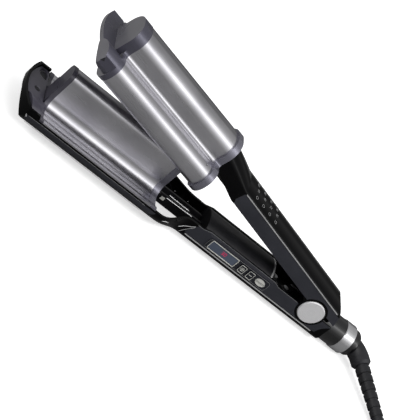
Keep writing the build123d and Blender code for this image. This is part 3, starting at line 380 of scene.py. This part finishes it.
# The same lacquer on the upper tip, painted lighter for the light its end face reflects, with painted shade on
# the sides that turn away.
litTipLacquer = dict(
    dark="#97969c", light="#a8a7ad", rough=(0.24, 0.34), grain=0.7, bump=0.008, metal=0.6, coat=0.3,
    sides="#5d5c69", litFrom=(-0.98, 0, 0.20),
)
# Bright trim, vacuum-metallised ABS: a clean mirror edge line; the same pale finish also draws painted
# highlights on edges.
brightTrimAndGlint = dict(dark="#cfcfd0", light="#e2e2e3", rough=(0.16, 0.24), grain=5.0, bump=0.004, metal=0.55)
# Navy lacquered acrylic of the control panel and keys, polished.
navyAcrylic = dict(
    dark="#11131c", light="#181b26", rough=(0.08, 0.14), grain=7.0, bump=0.01, ior=1.49, coat=0.3
)
# Chromed ring by the cord, polished: near white bands beside dark ones.
chromePlate = dict(dark="#dcdcde", light="#ececee", rough=(0.16, 0.20), grain=6.0, bump=0.004, metal=1.0)
# Zinc-plated steel, tumbled, for the screws, pin and spring.
platedSteel = dict(dark="#8b8c8f", light="#a4a4a6", rough=(0.26, 0.38), grain=1.2, bump=0.012, metal=1.0)
# Cast aluminium of the heat blocks, bead-blasted.
castAluminium = dict(dark="#8f9092", light="#a5a6a8", rough=(0.46, 0.60), grain=0.6, bump=0.05, metal=1.0)
# Alumina ceramic, fired and unglazed: a dry off-white.
firedCeramic = dict(dark="#dcd8cd", light="#ece9e0", rough=(0.55, 0.70), grain=0.5, bump=0.02)
# Black PA frame parts, moulded with a fine grain, which hide inside the arms.
framePlastic = dict(dark="#121214", light="#1c1c1f", rough=(0.36, 0.50), grain=0.8, bump=0.03)
# Glass-epoxy board under green solder resist.
boardResist = dict(dark="#12402a", light="#1a5537", rough=(0.28, 0.36), grain=1.6, bump=0.01, coat=0.3)
# TPE strain relief, moulded matt: charcoal with a dusty bloom.
reliefRubber = dict(dark="#17171a", light="#222226", rough=(0.38, 0.50), grain=0.8, bump=0.04, ior=1.5)
# PVC sheath, extruded: black, softly shining.
cordSheath = dict(dark="#151516", light="#1e1e20", rough=(0.34, 0.46), grain=1.4, bump=0.03, ior=1.52)
# Nickel-plated brass of the plug's pins.
nickelPins = dict(dark="#b7b1a0", light="#c9c3b2", rough=(0.18, 0.28), grain=2.0, bump=0.01, metal=1.0)


# Spun aluminium of the hinge caps: rings about the axis that catch the light in a fan.
capSpin = dict(dark="#e2e1e3", light="#f2f2f3", ring=0.5, rough=(0.34, 0.42), bump=0.003, metal=0.15)


def spunAluminium(name):
    material, tree = newMaterial(name)
    place = addNode(tree, "ShaderNodeTexCoord")
    flat = addNode(
        tree,
        "ShaderNodeVectorMath",
        {"operation": "SUBTRACT", 1: hinge},
        {0: place.outputs["Object"]},
    )
    level = addNode(tree, "ShaderNodeVectorMath", {"operation": "MULTIPLY", 1: (1, 0, 1)}, {0: flat.outputs[0]})
    radius = addNode(tree, "ShaderNodeVectorMath", {"operation": "LENGTH"}, {0: level.outputs[0]})
    rings = addNode(
        tree,
        "ShaderNodeTexNoise",
        {"noise_dimensions": "1D", "Scale": 1 / (capSpin["ring"] * mm), "Detail": 3.0},
        {"W": radius.outputs["Value"]},
    )
    colour = twoColours(tree, spread(tree, rings.outputs[0], 0.0, 1.0), capSpin["dark"], capSpin["light"])
    bump = addNode(
        tree,
        "ShaderNodeBump",
        {"Strength": 0.5, "Distance": capSpin["bump"] * mm},
        {"Height": rings.outputs[0]},
    )
    finishShader(
        tree,
        {"Metallic": capSpin["metal"]},
        {
            "Base Color": colour,
            "Roughness": spread(tree, rings.outputs[0], *capSpin["rough"]),
            "Normal": bump.outputs[0],
        },
    )
    return material


# Smoked acrylic over the display: blue grey, mirror smooth, with faint dust.
windowGlass = dict(
    dark="#4b5465", light="#5a6476", rough=(0.05, 0.09), grain=6.0, bump=0.004, ior=1.49, coat=0.5
)


# Red-violet LED segments, moulded clear and lit from behind.
def litSegments(name):
    material, tree = newMaterial(name)
    place = addNode(tree, "ShaderNodeTexCoord")
    glow = addNode(
        tree,
        "ShaderNodeTexNoise",
        {"Scale": 1 / (1.2 * mm), "Detail": 1.0},
        {"Vector": place.outputs["Object"]},
    )
    colour = twoColours(tree, spread(tree, glow.outputs[0], 0.0, 1.0), "#b8164a", "#d0245c")
    finishShader(
        tree,
        {"Roughness": 0.3, "Emission Strength": 0.45},
        {"Base Color": colour, "Emission Color": colour},
    )
    return material


# Printed ink on the keys and panel: flat light grey, slightly speckled.
panelInk = dict(dark="#d3d3cd", light="#e4e4de", rough=(0.45, 0.55), grain=0.5, bump=0.01)
greyInk = dict(dark="#6d6d6e", light="#808081", rough=(0.35, 0.45), grain=0.5, bump=0.01)
# Dark ink printed on the power key; the same colour is painted shade in the screw's cross recess and the nose's
# hole, and colours the dish's floor.
darkInkAndShade = dict(dark="#1b1c20", light="#26272b", rough=(0.45, 0.55), grain=0.5, bump=0.01)
# The strips' slate lacquer, coloured lighter on the ribs.
ribLacquer = dict(dark="#45464d", light="#55565d", rough=(0.36, 0.46), grain=0.6, bump=0.01)
# Black oxide on the tip's steel screw.
blackOxide = dict(dark="#2b2b2e", light="#3a3a3d", rough=(0.32, 0.44), grain=0.8, bump=0.01, metal=0.6)
# Hook-and-loop strap on the coil: black woven nylon.
strapWeave = dict(dark="#1a1a1c", light="#2a2a2e", rough=(0.75, 0.90), grain=0.7, bump=0.12, bumpStrength=0.8)

finishes = {
    "lowerPlateAluminium": platedAluminium("lowerPlateAluminium", 0.0),
    "upperBarrelAluminium": platedAluminium("upperBarrelAluminium", upperTilt),
    "glossAbs": mouldedFinish("glossAbs", glossAbs),
    "pianoLacquer": mouldedFinish("pianoLacquer", pianoLacquer),
    "chromePlate": mouldedFinish("chromePlate", chromePlate),
    "softLacquer": mouldedFinish("softLacquer", softLacquer),
    "filledNylon": mouldedFinish("filledNylon", filledNylon),
    "gunLacquer": mouldedFinish("gunLacquer", gunLacquer),
    "litTipLacquer": mouldedFinish("litTipLacquer", litTipLacquer),
    "brightTrimAndGlint": mouldedFinish("brightTrimAndGlint", brightTrimAndGlint),
    "spunAluminium": spunAluminium("spunAluminium"),
    "navyAcrylic": mouldedFinish("navyAcrylic", navyAcrylic),
    "windowGlass": mouldedFinish("windowGlass", windowGlass),
    "platedSteel": mouldedFinish("platedSteel", platedSteel),
    "castAluminium": mouldedFinish("castAluminium", castAluminium),
    "firedCeramic": mouldedFinish("firedCeramic", firedCeramic),
    "framePlastic": mouldedFinish("framePlastic", framePlastic),
    "boardResist": mouldedFinish("boardResist", boardResist),
    "reliefRubber": mouldedFinish("reliefRubber", reliefRubber),
    "cordSheath": mouldedFinish("cordSheath", cordSheath),
    "nickelPins": mouldedFinish("nickelPins", nickelPins),
    "litSegments": litSegments("litSegments"),
    "panelInk": mouldedFinish("panelInk", panelInk),
    "greyInk": mouldedFinish("greyInk", greyInk),
    "darkInkAndShade": mouldedFinish("darkInkAndShade", darkInkAndShade),
    "ribLacquer": mouldedFinish("ribLacquer", ribLacquer),
    "blackOxide": mouldedFinish("blackOxide", blackOxide),
    "strapWeave": mouldedFinish("strapWeave", strapWeave),
}

# which finish each record slot takes, and the nodes that differ from their slot
slotFinish = dict(
    plate_metal="lowerPlateAluminium",
    tip_plastic="filledNylon",
    black_gloss="glossAbs",
    slate_satin="softLacquer",
    rim_grey="gunLacquer",
    silver_trim="brightTrimAndGlint",
    cap_silver="spunAluminium",
    navy_gloss="navyAcrylic",
    display_glass="windowGlass",
    steel="platedSteel",
    heater_alloy="castAluminium",
    ceramic="firedCeramic",
    frame_plastic="framePlastic",
    board_green="boardResist",
    relief_rubber="reliefRubber",
    cord_black="cordSheath",
    pin_brass="nickelPins",
)
nodeFinish = dict(
    upper_wave_barrel="upperBarrelAluminium",
    upper_tip_cap="litTipLacquer",
    power_key="panelInk",
    lower_tip_screw="blackOxide",
    cord_collar="pianoLacquer",
    swivel_end="pianoLacquer",
    chrome_ring="chromePlate",
)


def dressNodes():
    slots = {part["node"]: part["material_slot"] for part in frame["record"]["subparts"]}
    for name, node in nodes.items():
        finish = finishes[nodeFinish.get(name) or slotFinish[slots[name]]]
        if not node.material_slots:
            node.data.materials.append(finish)
        for place in node.material_slots:
            place.material = finish


dressNodes()
print("finishes:", len(finishes))


def newPiece(name, mesh, finish, body):
    piece = bpy.data.objects.new(name, mesh)
    bpy.context.scene.collection.objects.link(piece)
    mesh.materials.clear()
    mesh.materials.append(finishes[finish])
    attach(piece, body)
    return piece


def smoothMesh(mesh, angle=35):
    # smooth faces, with edges sharper than the angle kept crisp
    work = bmesh.new()
    work.from_mesh(mesh)
    for face in work.faces:
        face.smooth = True
    for edge in work.edges:
        if len(edge.link_faces) == 2 and edge.calc_face_angle() > math.radians(angle):
            edge.smooth = False
    work.to_mesh(mesh)
    work.free()


def tubeMesh(name, paths, radius, sides=8):
    # round bars along open paths, closed at both ends
    work = bmesh.new()
    for path in paths:
        points = [Vector(p) for p in path]
        rings = []
        turns = [2 * math.pi * k / sides for k in range(sides)]
        up = None
        for i, point in enumerate(points):
            way = points[min(i + 1, len(points) - 1)] - points[max(i - 1, 0)]
            way.normalize()
            if up is None:
                up = way.orthogonal().normalized()
            up = (up - way * up.dot(way)).normalized()
            side = way.cross(up)
            rings.append(
                [work.verts.new(point + radius * (math.cos(a) * up + math.sin(a) * side)) for a in turns]
            )
        for a, b in zip(rings, rings[1:]):
            for k in range(sides):
                work.faces.new((a[k], a[(k + 1) % sides], b[(k + 1) % sides], b[k]))
        work.faces.new(list(reversed(rings[0])))
        work.faces.new(rings[-1])
    bmesh.ops.recalc_face_normals(work, faces=work.faces)
    mesh = bpy.data.meshes.new(name)
    work.to_mesh(mesh)
    work.free()
    smoothMesh(mesh, 50)
    return mesh


def slabMesh(name, outlines, thick, place):
    # flat outlines in the XZ plane, given a thickness towards -Y and a small edge chamfer, then placed
    work = bmesh.new()
    for outline in outlines:
        back = [work.verts.new((x * mm, 0, z * mm)) for x, z in outline]
        front = [work.verts.new((x * mm, -thick * mm, z * mm)) for x, z in outline]
        count = len(outline)
        for k in range(count):
            work.faces.new((back[k], back[(k + 1) % count], front[(k + 1) % count], front[k]))
        work.faces.new(front)
        work.faces.new(list(reversed(back)))
    bmesh.ops.recalc_face_normals(work, faces=work.faces)
    bmesh.ops.transform(work, matrix=place, verts=work.verts)
    mesh = bpy.data.meshes.new(name)
    work.to_mesh(mesh)
    work.free()
    return mesh


# One repeat is grown by nodes, taken as plain faces and rides as one piece.
def grownMesh(name, base, tree, values):
    grower = bpy.data.objects.new(name, base)
    bpy.context.scene.collection.objects.link(grower)
    nodesOn = grower.modifiers.new("repeat", "NODES")
    nodesOn.node_group = tree
    for item in tree.interface.items_tree:
        if item.item_type == "SOCKET" and item.in_out == "INPUT" and item.name in values:
            nodesOn[item.identifier] = values[item.name]
    bpy.context.view_layer.update()
    grown = grower.evaluated_get(bpy.context.evaluated_depsgraph_get())
    mesh = bpy.data.meshes.new_from_object(grown)
    mesh.name = name
    bpy.data.objects.remove(grower)
    return mesh


def newTree(name, inputs):
    tree = bpy.data.node_groups.new(name, "GeometryNodeTree")
    tree.interface.new_socket("Geometry", in_out="INPUT", socket_type="NodeSocketGeometry")
    for label, kind in inputs:
        tree.interface.new_socket(label, in_out="INPUT", socket_type=kind)
    tree.interface.new_socket("Geometry", in_out="OUTPUT", socket_type="NodeSocketGeometry")
    return tree, addNode(tree, "NodeGroupInput")


def closeTree(tree, start, geometry):
    real = addNode(tree, "GeometryNodeRealizeInstances", {}, {"Geometry": geometry})
    painted = addNode(
        tree, "GeometryNodeSetMaterial", {}, {"Geometry": real.outputs[0], "Material": start.outputs["Finish"]}
    )
    addNode(tree, "NodeGroupOutput", {}, {0: painted.outputs[0]})


# Bright eyelets round the vents in the upper handle's crown.
eyelets = dict(
    firstX=-79.2, stepX=-8.1, firstY=-9.9, stepY=6.6, rows=4, columns=4, radius=1.08, bar=0.13,
    crownZ=14.4, crownRise=4.8, crownHalf=14.5, sink=0.02,
)


def makeEyelets():
    inputs = [("Radius", "NodeSocketFloat"), ("Bar", "NodeSocketFloat"), ("Finish", "NodeSocketMaterial")]
    tree, start = newTree("ventEyelets", inputs)
    circle = "GeometryNodeCurvePrimitiveCircle"
    ring = addNode(tree, circle, {"Resolution": 20}, {"Radius": start.outputs["Radius"]})
    bar = addNode(tree, circle, {"Resolution": 6}, {"Radius": start.outputs["Bar"]})
    eyelet = addNode(
        tree, "GeometryNodeCurveToMesh", {}, {"Curve": ring.outputs[0], "Profile Curve": bar.outputs[0]}
    )
    lean = addNode(tree, "GeometryNodeInputNamedAttribute", {"data_type": "FLOAT_VECTOR", "Name": "lean"})
    placed = addNode(
        tree,
        "GeometryNodeInstanceOnPoints",
        {},
        {"Points": start.outputs["Geometry"], "Instance": eyelet.outputs[0], "Rotation": lean.outputs[0]},
    )
    closeTree(tree, start, placed.outputs[0])

    places, leans = [], []
    for i in range(eyelets["columns"]):
        for j in range(eyelets["rows"]):
            x = eyelets["firstX"] + eyelets["stepX"] * i
            y = eyelets["firstY"] + eyelets["stepY"] * j
            share = y / eyelets["crownHalf"]
            flat = math.sqrt(1 - share * share)
            z = eyelets["crownZ"] + eyelets["crownRise"] * flat - eyelets["sink"]
            slope = -eyelets["crownRise"] * share / (eyelets["crownHalf"] * flat)
            places.append(handlePlace @ Vector((x * mm, y * mm, z * mm)))
            turned = Matrix.Rotation(handleTilt, 4, "Y") @ Matrix.Rotation(math.atan(slope), 4, "X")
            leans.append(turned.to_euler())
    base = bpy.data.meshes.new("ventPlaces")
    base.from_pydata(places, [], [])
    turned = base.attributes.new("lean", "FLOAT_VECTOR", "POINT")
    turned.data.foreach_set("vector", [angle for lean in leans for angle in lean])
    values = {"Radius": eyelets["radius"] * mm, "Bar": eyelets["bar"] * mm, "Finish": finishes["brightTrimAndGlint"]}
    mesh = grownMesh("ventEyelets", base, tree, values)
    smoothMesh(mesh, 60)
    newPiece("ventEyelets", mesh, "brightTrimAndGlint", "upper_arm")


# Fine upright ribs in the slate strip, over the control panel.
gripRibs = dict(start=(9.2, -14.5, 20.1), step=0.62, count=97, size=(0.24, 0.22, 1.5))


def makeGripRibs():
    tree, start = newTree(
        "gripRibs",
        [
            ("Count", "NodeSocketInt"),
            ("Start", "NodeSocketVector"),
            ("Step", "NodeSocketVector"),
            ("Size", "NodeSocketVector"),
            ("Finish", "NodeSocketMaterial"),
        ],
    )
    row = addNode(
        tree,
        "GeometryNodeMeshLine",
        {},
        {
            "Count": start.outputs["Count"],
            "Start Location": start.outputs["Start"],
            "Offset": start.outputs["Step"],
        },
    )
    rib = addNode(tree, "GeometryNodeMeshCube", {}, {"Size": start.outputs["Size"]})
    placed = addNode(
        tree, "GeometryNodeInstanceOnPoints", {}, {"Points": row.outputs[0], "Instance": rib.outputs[0]}
    )
    closeTree(tree, start, placed.outputs[0])
    values = {
        "Count": gripRibs["count"],
        "Start": [v * mm for v in gripRibs["start"]],
        "Step": [gripRibs["step"] * mm, 0, 0],
        "Size": [v * mm for v in gripRibs["size"]],
        "Finish": finishes["ribLacquer"],
    }
    mesh = grownMesh("gripRibs", bpy.data.meshes.new("ribBase"), tree, values)
    newPiece("gripRibs", mesh, "ribLacquer", "lower_arm")


makeEyelets()
makeGripRibs()
print("eyelets and ribs")


def roundedPath(lowX, highX, lowZ, highZ, radius, y, steps=5):
    # a closed rounded rectangle that stands in the XZ plane
    corners = [
        (highX - radius, highZ - radius, 0),
        (lowX + radius, highZ - radius, 90),
        (lowX + radius, lowZ + radius, 180),
        (highX - radius, lowZ + radius, 270),
    ]
    points = []
    for x, z, start in corners:
        for k in range(steps + 1):
            turn = math.radians(start + 90 * k / steps)
            points.append(((x + radius * math.cos(turn)) * mm, y * mm, (z + radius * math.sin(turn)) * mm))
    return points + points[:2]


def millimetres(path):
    return [[v * mm for v in point] for point in path]


# Light lines round the display window and the panel, half sunk in its face.
panelLines = dict(
    window=(13.6, 38.4, 10.3, 17.8, 1.0),
    windowBar=0.30,
    panel=(11.2, 68.8, 9.8, 18.3, 2.2),
    panelBar=0.16,
    face=-14.9,
)


def makePanelLines():
    window = tubeMesh(
        "windowFrame", [roundedPath(*panelLines["window"], panelLines["face"])], panelLines["windowBar"] * mm
    )
    newPiece("windowFrame", window, "panelInk", "lower_arm")
    panel = tubeMesh(
        "panelFrame", [roundedPath(*panelLines["panel"], panelLines["face"])], panelLines["panelBar"] * mm
    )
    newPiece("panelFrame", panel, "greyInk", "lower_arm")


# Two seven-segment digits behind the window: how wide and high one is, and its bars.
digits = dict(start=(24.8, 12.75), wide=1.6, high=2.8, bar=0.3, gap=0.7, face=-14.7, thick=0.05)
litBars = ["abgcd", "abcdef"]  # 3 and 0


def makeDigits():
    wide, high, bar = digits["wide"], digits["high"], digits["bar"]
    half = high / 2
    bars = dict(
        a=(0, high - bar, wide, high),
        b=(wide - bar, half, wide, high),
        c=(wide - bar, 0, wide, half),
        d=(0, 0, wide, bar),
        e=(0, 0, bar, half),
        f=(0, half, bar, high),
        g=(0, half - bar / 2, wide, half + bar / 2),
    )
    outlines = []
    for k, lit in enumerate(litBars):
        shift = digits["start"][0] + k * (wide + digits["gap"])
        rise = digits["start"][1]
        for name in lit:
            x0, z0, x1, z1 = bars[name]
            outlines.append([(shift + x, rise + z) for x, z in ((x0, z0), (x1, z0), (x1, z1), (x0, z1))])
    place = Matrix.Translation((0, digits["face"] * mm, 0))
    mesh = slabMesh("litDigits", outlines, digits["thick"], place)
    newPiece("litDigits", mesh, "litSegments", "lower_arm")


# Prints on the three keys' faces, half a tenth proud: a ring in a hexagon, a bar and ON/OFF.
keyPrints = dict(
    face=-15.8,
    middle=14.05,
    up=44.5,
    down=52.4,
    power=62.0,
    frame=(2.45, 3.15, 0.8),
    bar=0.2,
    hexagon=1.55,
    dot=0.55,
    dash=1.3,
    letter=2.1,
)


def makeKeyPrints():
    face, middle = keyPrints["face"], keyPrints["middle"]
    halfX, halfZ, corner = keyPrints["frame"]
    for body, x in (("up_key", keyPrints["up"]), ("down_key", keyPrints["down"])):
        paths = [roundedPath(x - halfX, x + halfX, middle - halfZ, middle + halfZ, corner, face)]
        if body == "up_key":
            size, dot = keyPrints["hexagon"], keyPrints["dot"]
            turns = [math.radians(60 * k) for k in range(8)]
            hexagon = [(x + size * math.cos(turn), face, middle + size * math.sin(turn)) for turn in turns]
            paths.append(millimetres(hexagon))
            paths.append(roundedPath(x - dot, x + dot, middle - dot, middle + dot, dot - 0.01, face))
        else:
            dash, edge = keyPrints["dash"], halfZ - 0.6
            paths.append(millimetres([(x - dash, face, middle), (x + dash, face, middle)]))
            paths.append(millimetres([(x - halfX, face, middle - edge), (x - halfX, face, middle + edge)]))
        mesh = tubeMesh(body + "Print", paths, keyPrints["bar"] * mm)
        newPiece(body + "Print", mesh, "panelInk", body)

    words = bpy.data.curves.new("onOff", "FONT")
    words.body = "ON/OFF"
    words.size = keyPrints["letter"] * mm
    words.align_x = "CENTER"
    words.align_y = "CENTER"
    words.extrude = 0.04 * mm
    writer = bpy.data.objects.new("onOff", words)
    bpy.context.scene.collection.objects.link(writer)
    bpy.context.view_layer.update()
    mesh = bpy.data.meshes.new_from_object(writer.evaluated_get(bpy.context.evaluated_depsgraph_get()))
    bpy.data.objects.remove(writer)
    place = Matrix.Translation((keyPrints["power"] * mm, face * mm, middle * mm))
    mesh.transform(place @ Matrix.Rotation(math.pi / 2, 4, "X"))
    newPiece("onOff", mesh, "darkInkAndShade", "power_key")


makePanelLines()
makeDigits()
makeKeyPrints()
print("panel lines, digits and key prints")

# Thin bright lines and clips, each path on the wall or edge that carries it; the glint lines are painted
# highlights on edges.
edgeLines = dict(
    lower=[
        (0.14, "greyInk", "stripLine", "slate_satin", [
            [(-3.0, -14.5, 19.75), (2.0, -14.5, 19.75), (8.0, -14.5, 21.5), (70.0, -14.5, 21.5),
             (75.0, -14.5, 19.75), (93.5, -14.5, 19.75)],
        ]),
        # painted highlights: bright lines where the strip's start catches glints on its edges
        (0.28, "brightTrimAndGlint", "stripGlints", "silver_trim", [
            [(-12.7, -15.7, 10.0), (-10.6, -14.9, 11.9), (-8.9, -14.6, 13.2), (-5.6, -14.5, 15.4),
             (-3.4, -14.5, 17.4)],
            [(-9.3, -14.4, 6.6), (-7.8, -14.5, 9.6), (-5.6, -14.5, 13.2), (-3.4, -14.5, 16.2)],
        ]),
        (0.50, "brightTrimAndGlint", "bandClips", "silver_trim", [
            [(-29.4, -27.6, 12.8), (-27.4, -27.2, 13.6), (-24.4, -25.1, 13.0)],
            [(-150.3, -28.6, 14.9), (-149.3, -28.9, 13.0)],
        ]),
        (0.13, "greyInk", "bandLines", "slate_satin", [
            [(-148.0, -29.05, 14.8), (-47.0, -29.05, 14.8)],
            [(-148.0, -29.05, 9.5), (-47.0, -29.05, 9.5)],
        ]),
        # painted highlights: bright lines on the neck bracket's rib edges
        (0.35, "brightTrimAndGlint", "neckGlints", "silver_trim", [
            [(-26.0, 3.6, 13.6), (-7.6, 3.6, 13.3)],
            [(-19.6, 18.8, 10.2), (-14.4, 15.9, 11.9), (-8.8, 12.6, 13.8)],
            [(-30.0, -5.0, 15.6), (-7.0, -5.0, 16.2)],
        ]),
    ],
)


def makeEdgeLines():
    for radius, finish, name, slotName, paths in edgeLines["lower"]:
        mesh = tubeMesh(name, [millimetres(path) for path in paths], radius * mm, 6)
        newPiece(name, mesh, finish, "lower_arm")


# Small fittings: a pale patch of painted light on the bracket where the bright floor shows through the gap, a
# rivet on the barrel, the screw's cross recess as painted shade, a round dish beside it with a grey rim and a
# dark floor, and the nose's small hole as a black sheet of painted shade.
fittings = dict(
    tab=[(-33.6, 12.2), (-30.2, 12.2), (-30.4, 14.8), (-33.4, 14.4)], tabFace=-5.0, tabThick=0.4,
    rivet=(-38.2, -23.2, 65.5), rivetRadius=0.8,
    screw=(-148.3, 0.0, 17.5), slotLong=1.2, slotBar=0.3,
    nose=[(-144.0, 79.2), (-141.0, 80.1), (-142.5, 83.0)], noseFace=-29.0,
    dish=(-144.4, 21.4, 16.4), dishRadius=4.3, dishBar=0.35,
)


def makeFittings():
    # A pale patch of painted light on the bracket, where the bright floor shows through the gap.
    tabPlace = Matrix.Translation((0, fittings["tabFace"] * mm, 0))
    tab = slabMesh("gapLightPatch", [fittings["tab"]], fittings["tabThick"], tabPlace)
    newPiece("gapLightPatch", tab, "panelInk", "lower_arm")
    work = bmesh.new()
    bmesh.ops.create_icosphere(
        work, subdivisions=3, radius=fittings["rivetRadius"] * mm,
        matrix=Matrix.Translation([v * mm for v in fittings["rivet"]]),
    )
    rivet = bpy.data.meshes.new("barrelRivet")
    work.to_mesh(rivet)
    work.free()
    smoothMesh(rivet)
    newPiece("barrelRivet", rivet, "platedSteel", "upper_arm")
    # The screw's cross recess, drawn as a dark cross of painted shade.
    x, y, z = fittings["screw"]
    long = fittings["slotLong"]
    cross = tubeMesh(
        "screwRecessShade",
        [millimetres([(x - long, y, z), (x + long, y, z)]), millimetres([(x, y - long, z), (x, y + long, z)])],
        fittings["slotBar"] * mm,
        6,
    )
    newPiece("screwRecessShade", cross, "darkInkAndShade", "lower_arm")
    x, y, z = fittings["dish"]
    turns = [math.radians(15 * k) for k in range(26)]
    wide = fittings["dishRadius"]
    for name, radius, bar, flat, finish in (
        ("dishRim", wide - fittings["dishBar"], fittings["dishBar"], 0.12, "greyInk"),
        ("dishFloor", wide / 2, wide / 2 - 0.1, 0.05, "darkInkAndShade"),
    ):
        circle = [(x + radius * math.cos(turn), y + radius * math.sin(turn), 0) for turn in turns]
        mesh = tubeMesh(name, [millimetres(circle)], bar * mm)
        mesh.transform(Matrix.Translation((0, 0, z * mm)) @ Matrix.Diagonal((1, 1, flat, 1)))
        newPiece(name, mesh, finish, "lower_arm")
    # The nose's small hole, drawn as a thin black sheet of painted shade.
    slot = slabMesh("noseHoleShade", [fittings["nose"]], 0.06, Matrix.Translation((0, fittings["noseFace"] * mm, 0)))
    newPiece("noseHoleShade", slot, "darkInkAndShade", "upper_arm")


makeEdgeLines()
makeFittings()
print("trims and fittings")

# The mains cord: out of the relief, down to the table, into a coil of some six
# turns on three layers, over the coil's top and into the plug.
cordLine = dict(
    diameter=7.0,
    length=1.72,
    exit=(195.85, -61.69, 4.64),
    run=[(204.0, -77.5, 3.5), (216.5, -91.0, 3.5), (231.0, -100.5, 3.5)],
    coilCentre=(269.0, -60.0),
    step=15,  # degrees between the coil's points
    stops=[  # degrees turned, radius and height, eased between one and the next
        (245, 49, 3.5), (262, 47.2, 3.5), (505, 47, 3.5), (575, 40, 3.5), (865, 40, 3.5), (935, 33, 3.5),
        (1155, 33, 3.5), (1215, 33, 10.5), (1223, 33, 10.5), (1293, 40, 10.5), (1583, 40, 10.5),
        (1653, 47, 10.5), (1878, 47, 10.5), (1938, 47, 17.5), (1943, 47, 17.5), (2013, 40, 17.5),
        (2275, 40, 17.5), (2345, 33, 17.5), (2350, 33, 17.5), (2390, 35.5, 24.7), (2418, 43.5, 24.7),
        (2450, 51, 16.5), (2478, 55.2, 8.5), (2500, 56.5, 5.0),
    ],
    tail=[(319.5, -86.5, 4.9), (325.6, -76.5, 3.5), (329.8, -64.5, 3.5), (333.0, -50.0, 3.5)],
)


def coilPoint(angle):
    stops = cordLine["stops"]
    for (fromAngle, fromR, fromZ), (toAngle, toR, toZ) in zip(stops, stops[1:]):
        if fromAngle <= angle <= toAngle:
            share = (angle - fromAngle) / (toAngle - fromAngle)
            ease = share * share * (3 - 2 * share)
            radius = fromR + (toR - fromR) * ease
            turn = math.radians(angle)
            x, y = cordLine["coilCentre"]
            return (x + radius * math.cos(turn), y + radius * math.sin(turn), fromZ + (toZ - fromZ) * ease)


def makeCord():
    first, last = cordLine["stops"][0][0], cordLine["stops"][-1][0]
    turns = [coilPoint(angle) for angle in range(first, last - 19, cordLine["step"])]
    points = [cordLine["exit"]] + cordLine["run"] + turns + cordLine["tail"]
    curve = bpy.data.curves.new("mainsCord", "CURVE")
    curve.dimensions = "3D"
    curve.bevel_depth = cordLine["diameter"] / 2 * mm
    curve.bevel_resolution = 5
    curve.resolution_u = 5
    curve.use_fill_caps = True
    spline = curve.splines.new("NURBS")
    spline.points.add(len(points) - 1)
    for point, place in zip(spline.points, points):
        point.co = (*[v * mm for v in place], 1)
    spline.order_u = 3
    spline.use_endpoint_u = True
    cord = bpy.data.objects.new("mainsCord", curve)
    bpy.context.scene.collection.objects.link(cord)
    curve.materials.append(finishes["cordSheath"])
    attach(cord, "cord_swivel")
    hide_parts("cord", "cord_coil", "cord_tail")
    return cord


# The hook-and-loop tie round the coil: where round it, and how it wraps the turns.
tie = dict(angle=30, inner=29.2, outer=50.8, low=0.06, high=21.4, wide=11.0, thick=0.9, corner=4.5)


def makeTie():
    middle = (tie["inner"] + tie["outer"]) / 2
    halfR = (tie["outer"] - tie["inner"]) / 2
    turn = math.radians(tie["angle"])
    x, y = cordLine["coilCentre"]
    outer = roundedPath(-halfR, halfR, tie["low"], tie["high"], tie["corner"], 0, 6)[:-2]
    thick = tie["thick"]
    inner = roundedPath(
        -halfR + thick, halfR - thick, tie["low"] + thick, tie["high"] - thick, tie["corner"] - thick, 0, 6
    )[:-2]
    work = bmesh.new()
    side = tie["wide"] / 2 * mm
    rings = [
        [work.verts.new((px, shift, pz)) for px, ignored, pz in path]
        for path, shift in ((outer, -side), (outer, side), (inner, side), (inner, -side))
    ]
    count = len(outer)
    for a, b in zip(rings, rings[1:] + rings[:1]):
        for k in range(count):
            work.faces.new((a[k], a[(k + 1) % count], b[(k + 1) % count], b[k]))
    bmesh.ops.recalc_face_normals(work, faces=work.faces)
    outwards = Matrix.Rotation(turn, 4, "Z") @ Matrix.Translation((middle * mm, 0, 0))
    place = Matrix.Translation((x * mm, y * mm, 0)) @ outwards
    bmesh.ops.transform(work, matrix=place, verts=work.verts)
    mesh = bpy.data.meshes.new("cordTie")
    work.to_mesh(mesh)
    work.free()
    smoothMesh(mesh, 50)
    newPiece("cordTie", mesh, "strapWeave", "cord_swivel")


makeTie()
makeCord()
print("cord laid")

cadLow, cadHigh = list(cadLow), list(cadHigh)
bpy.context.scene.view_settings.view_transform = "Standard"
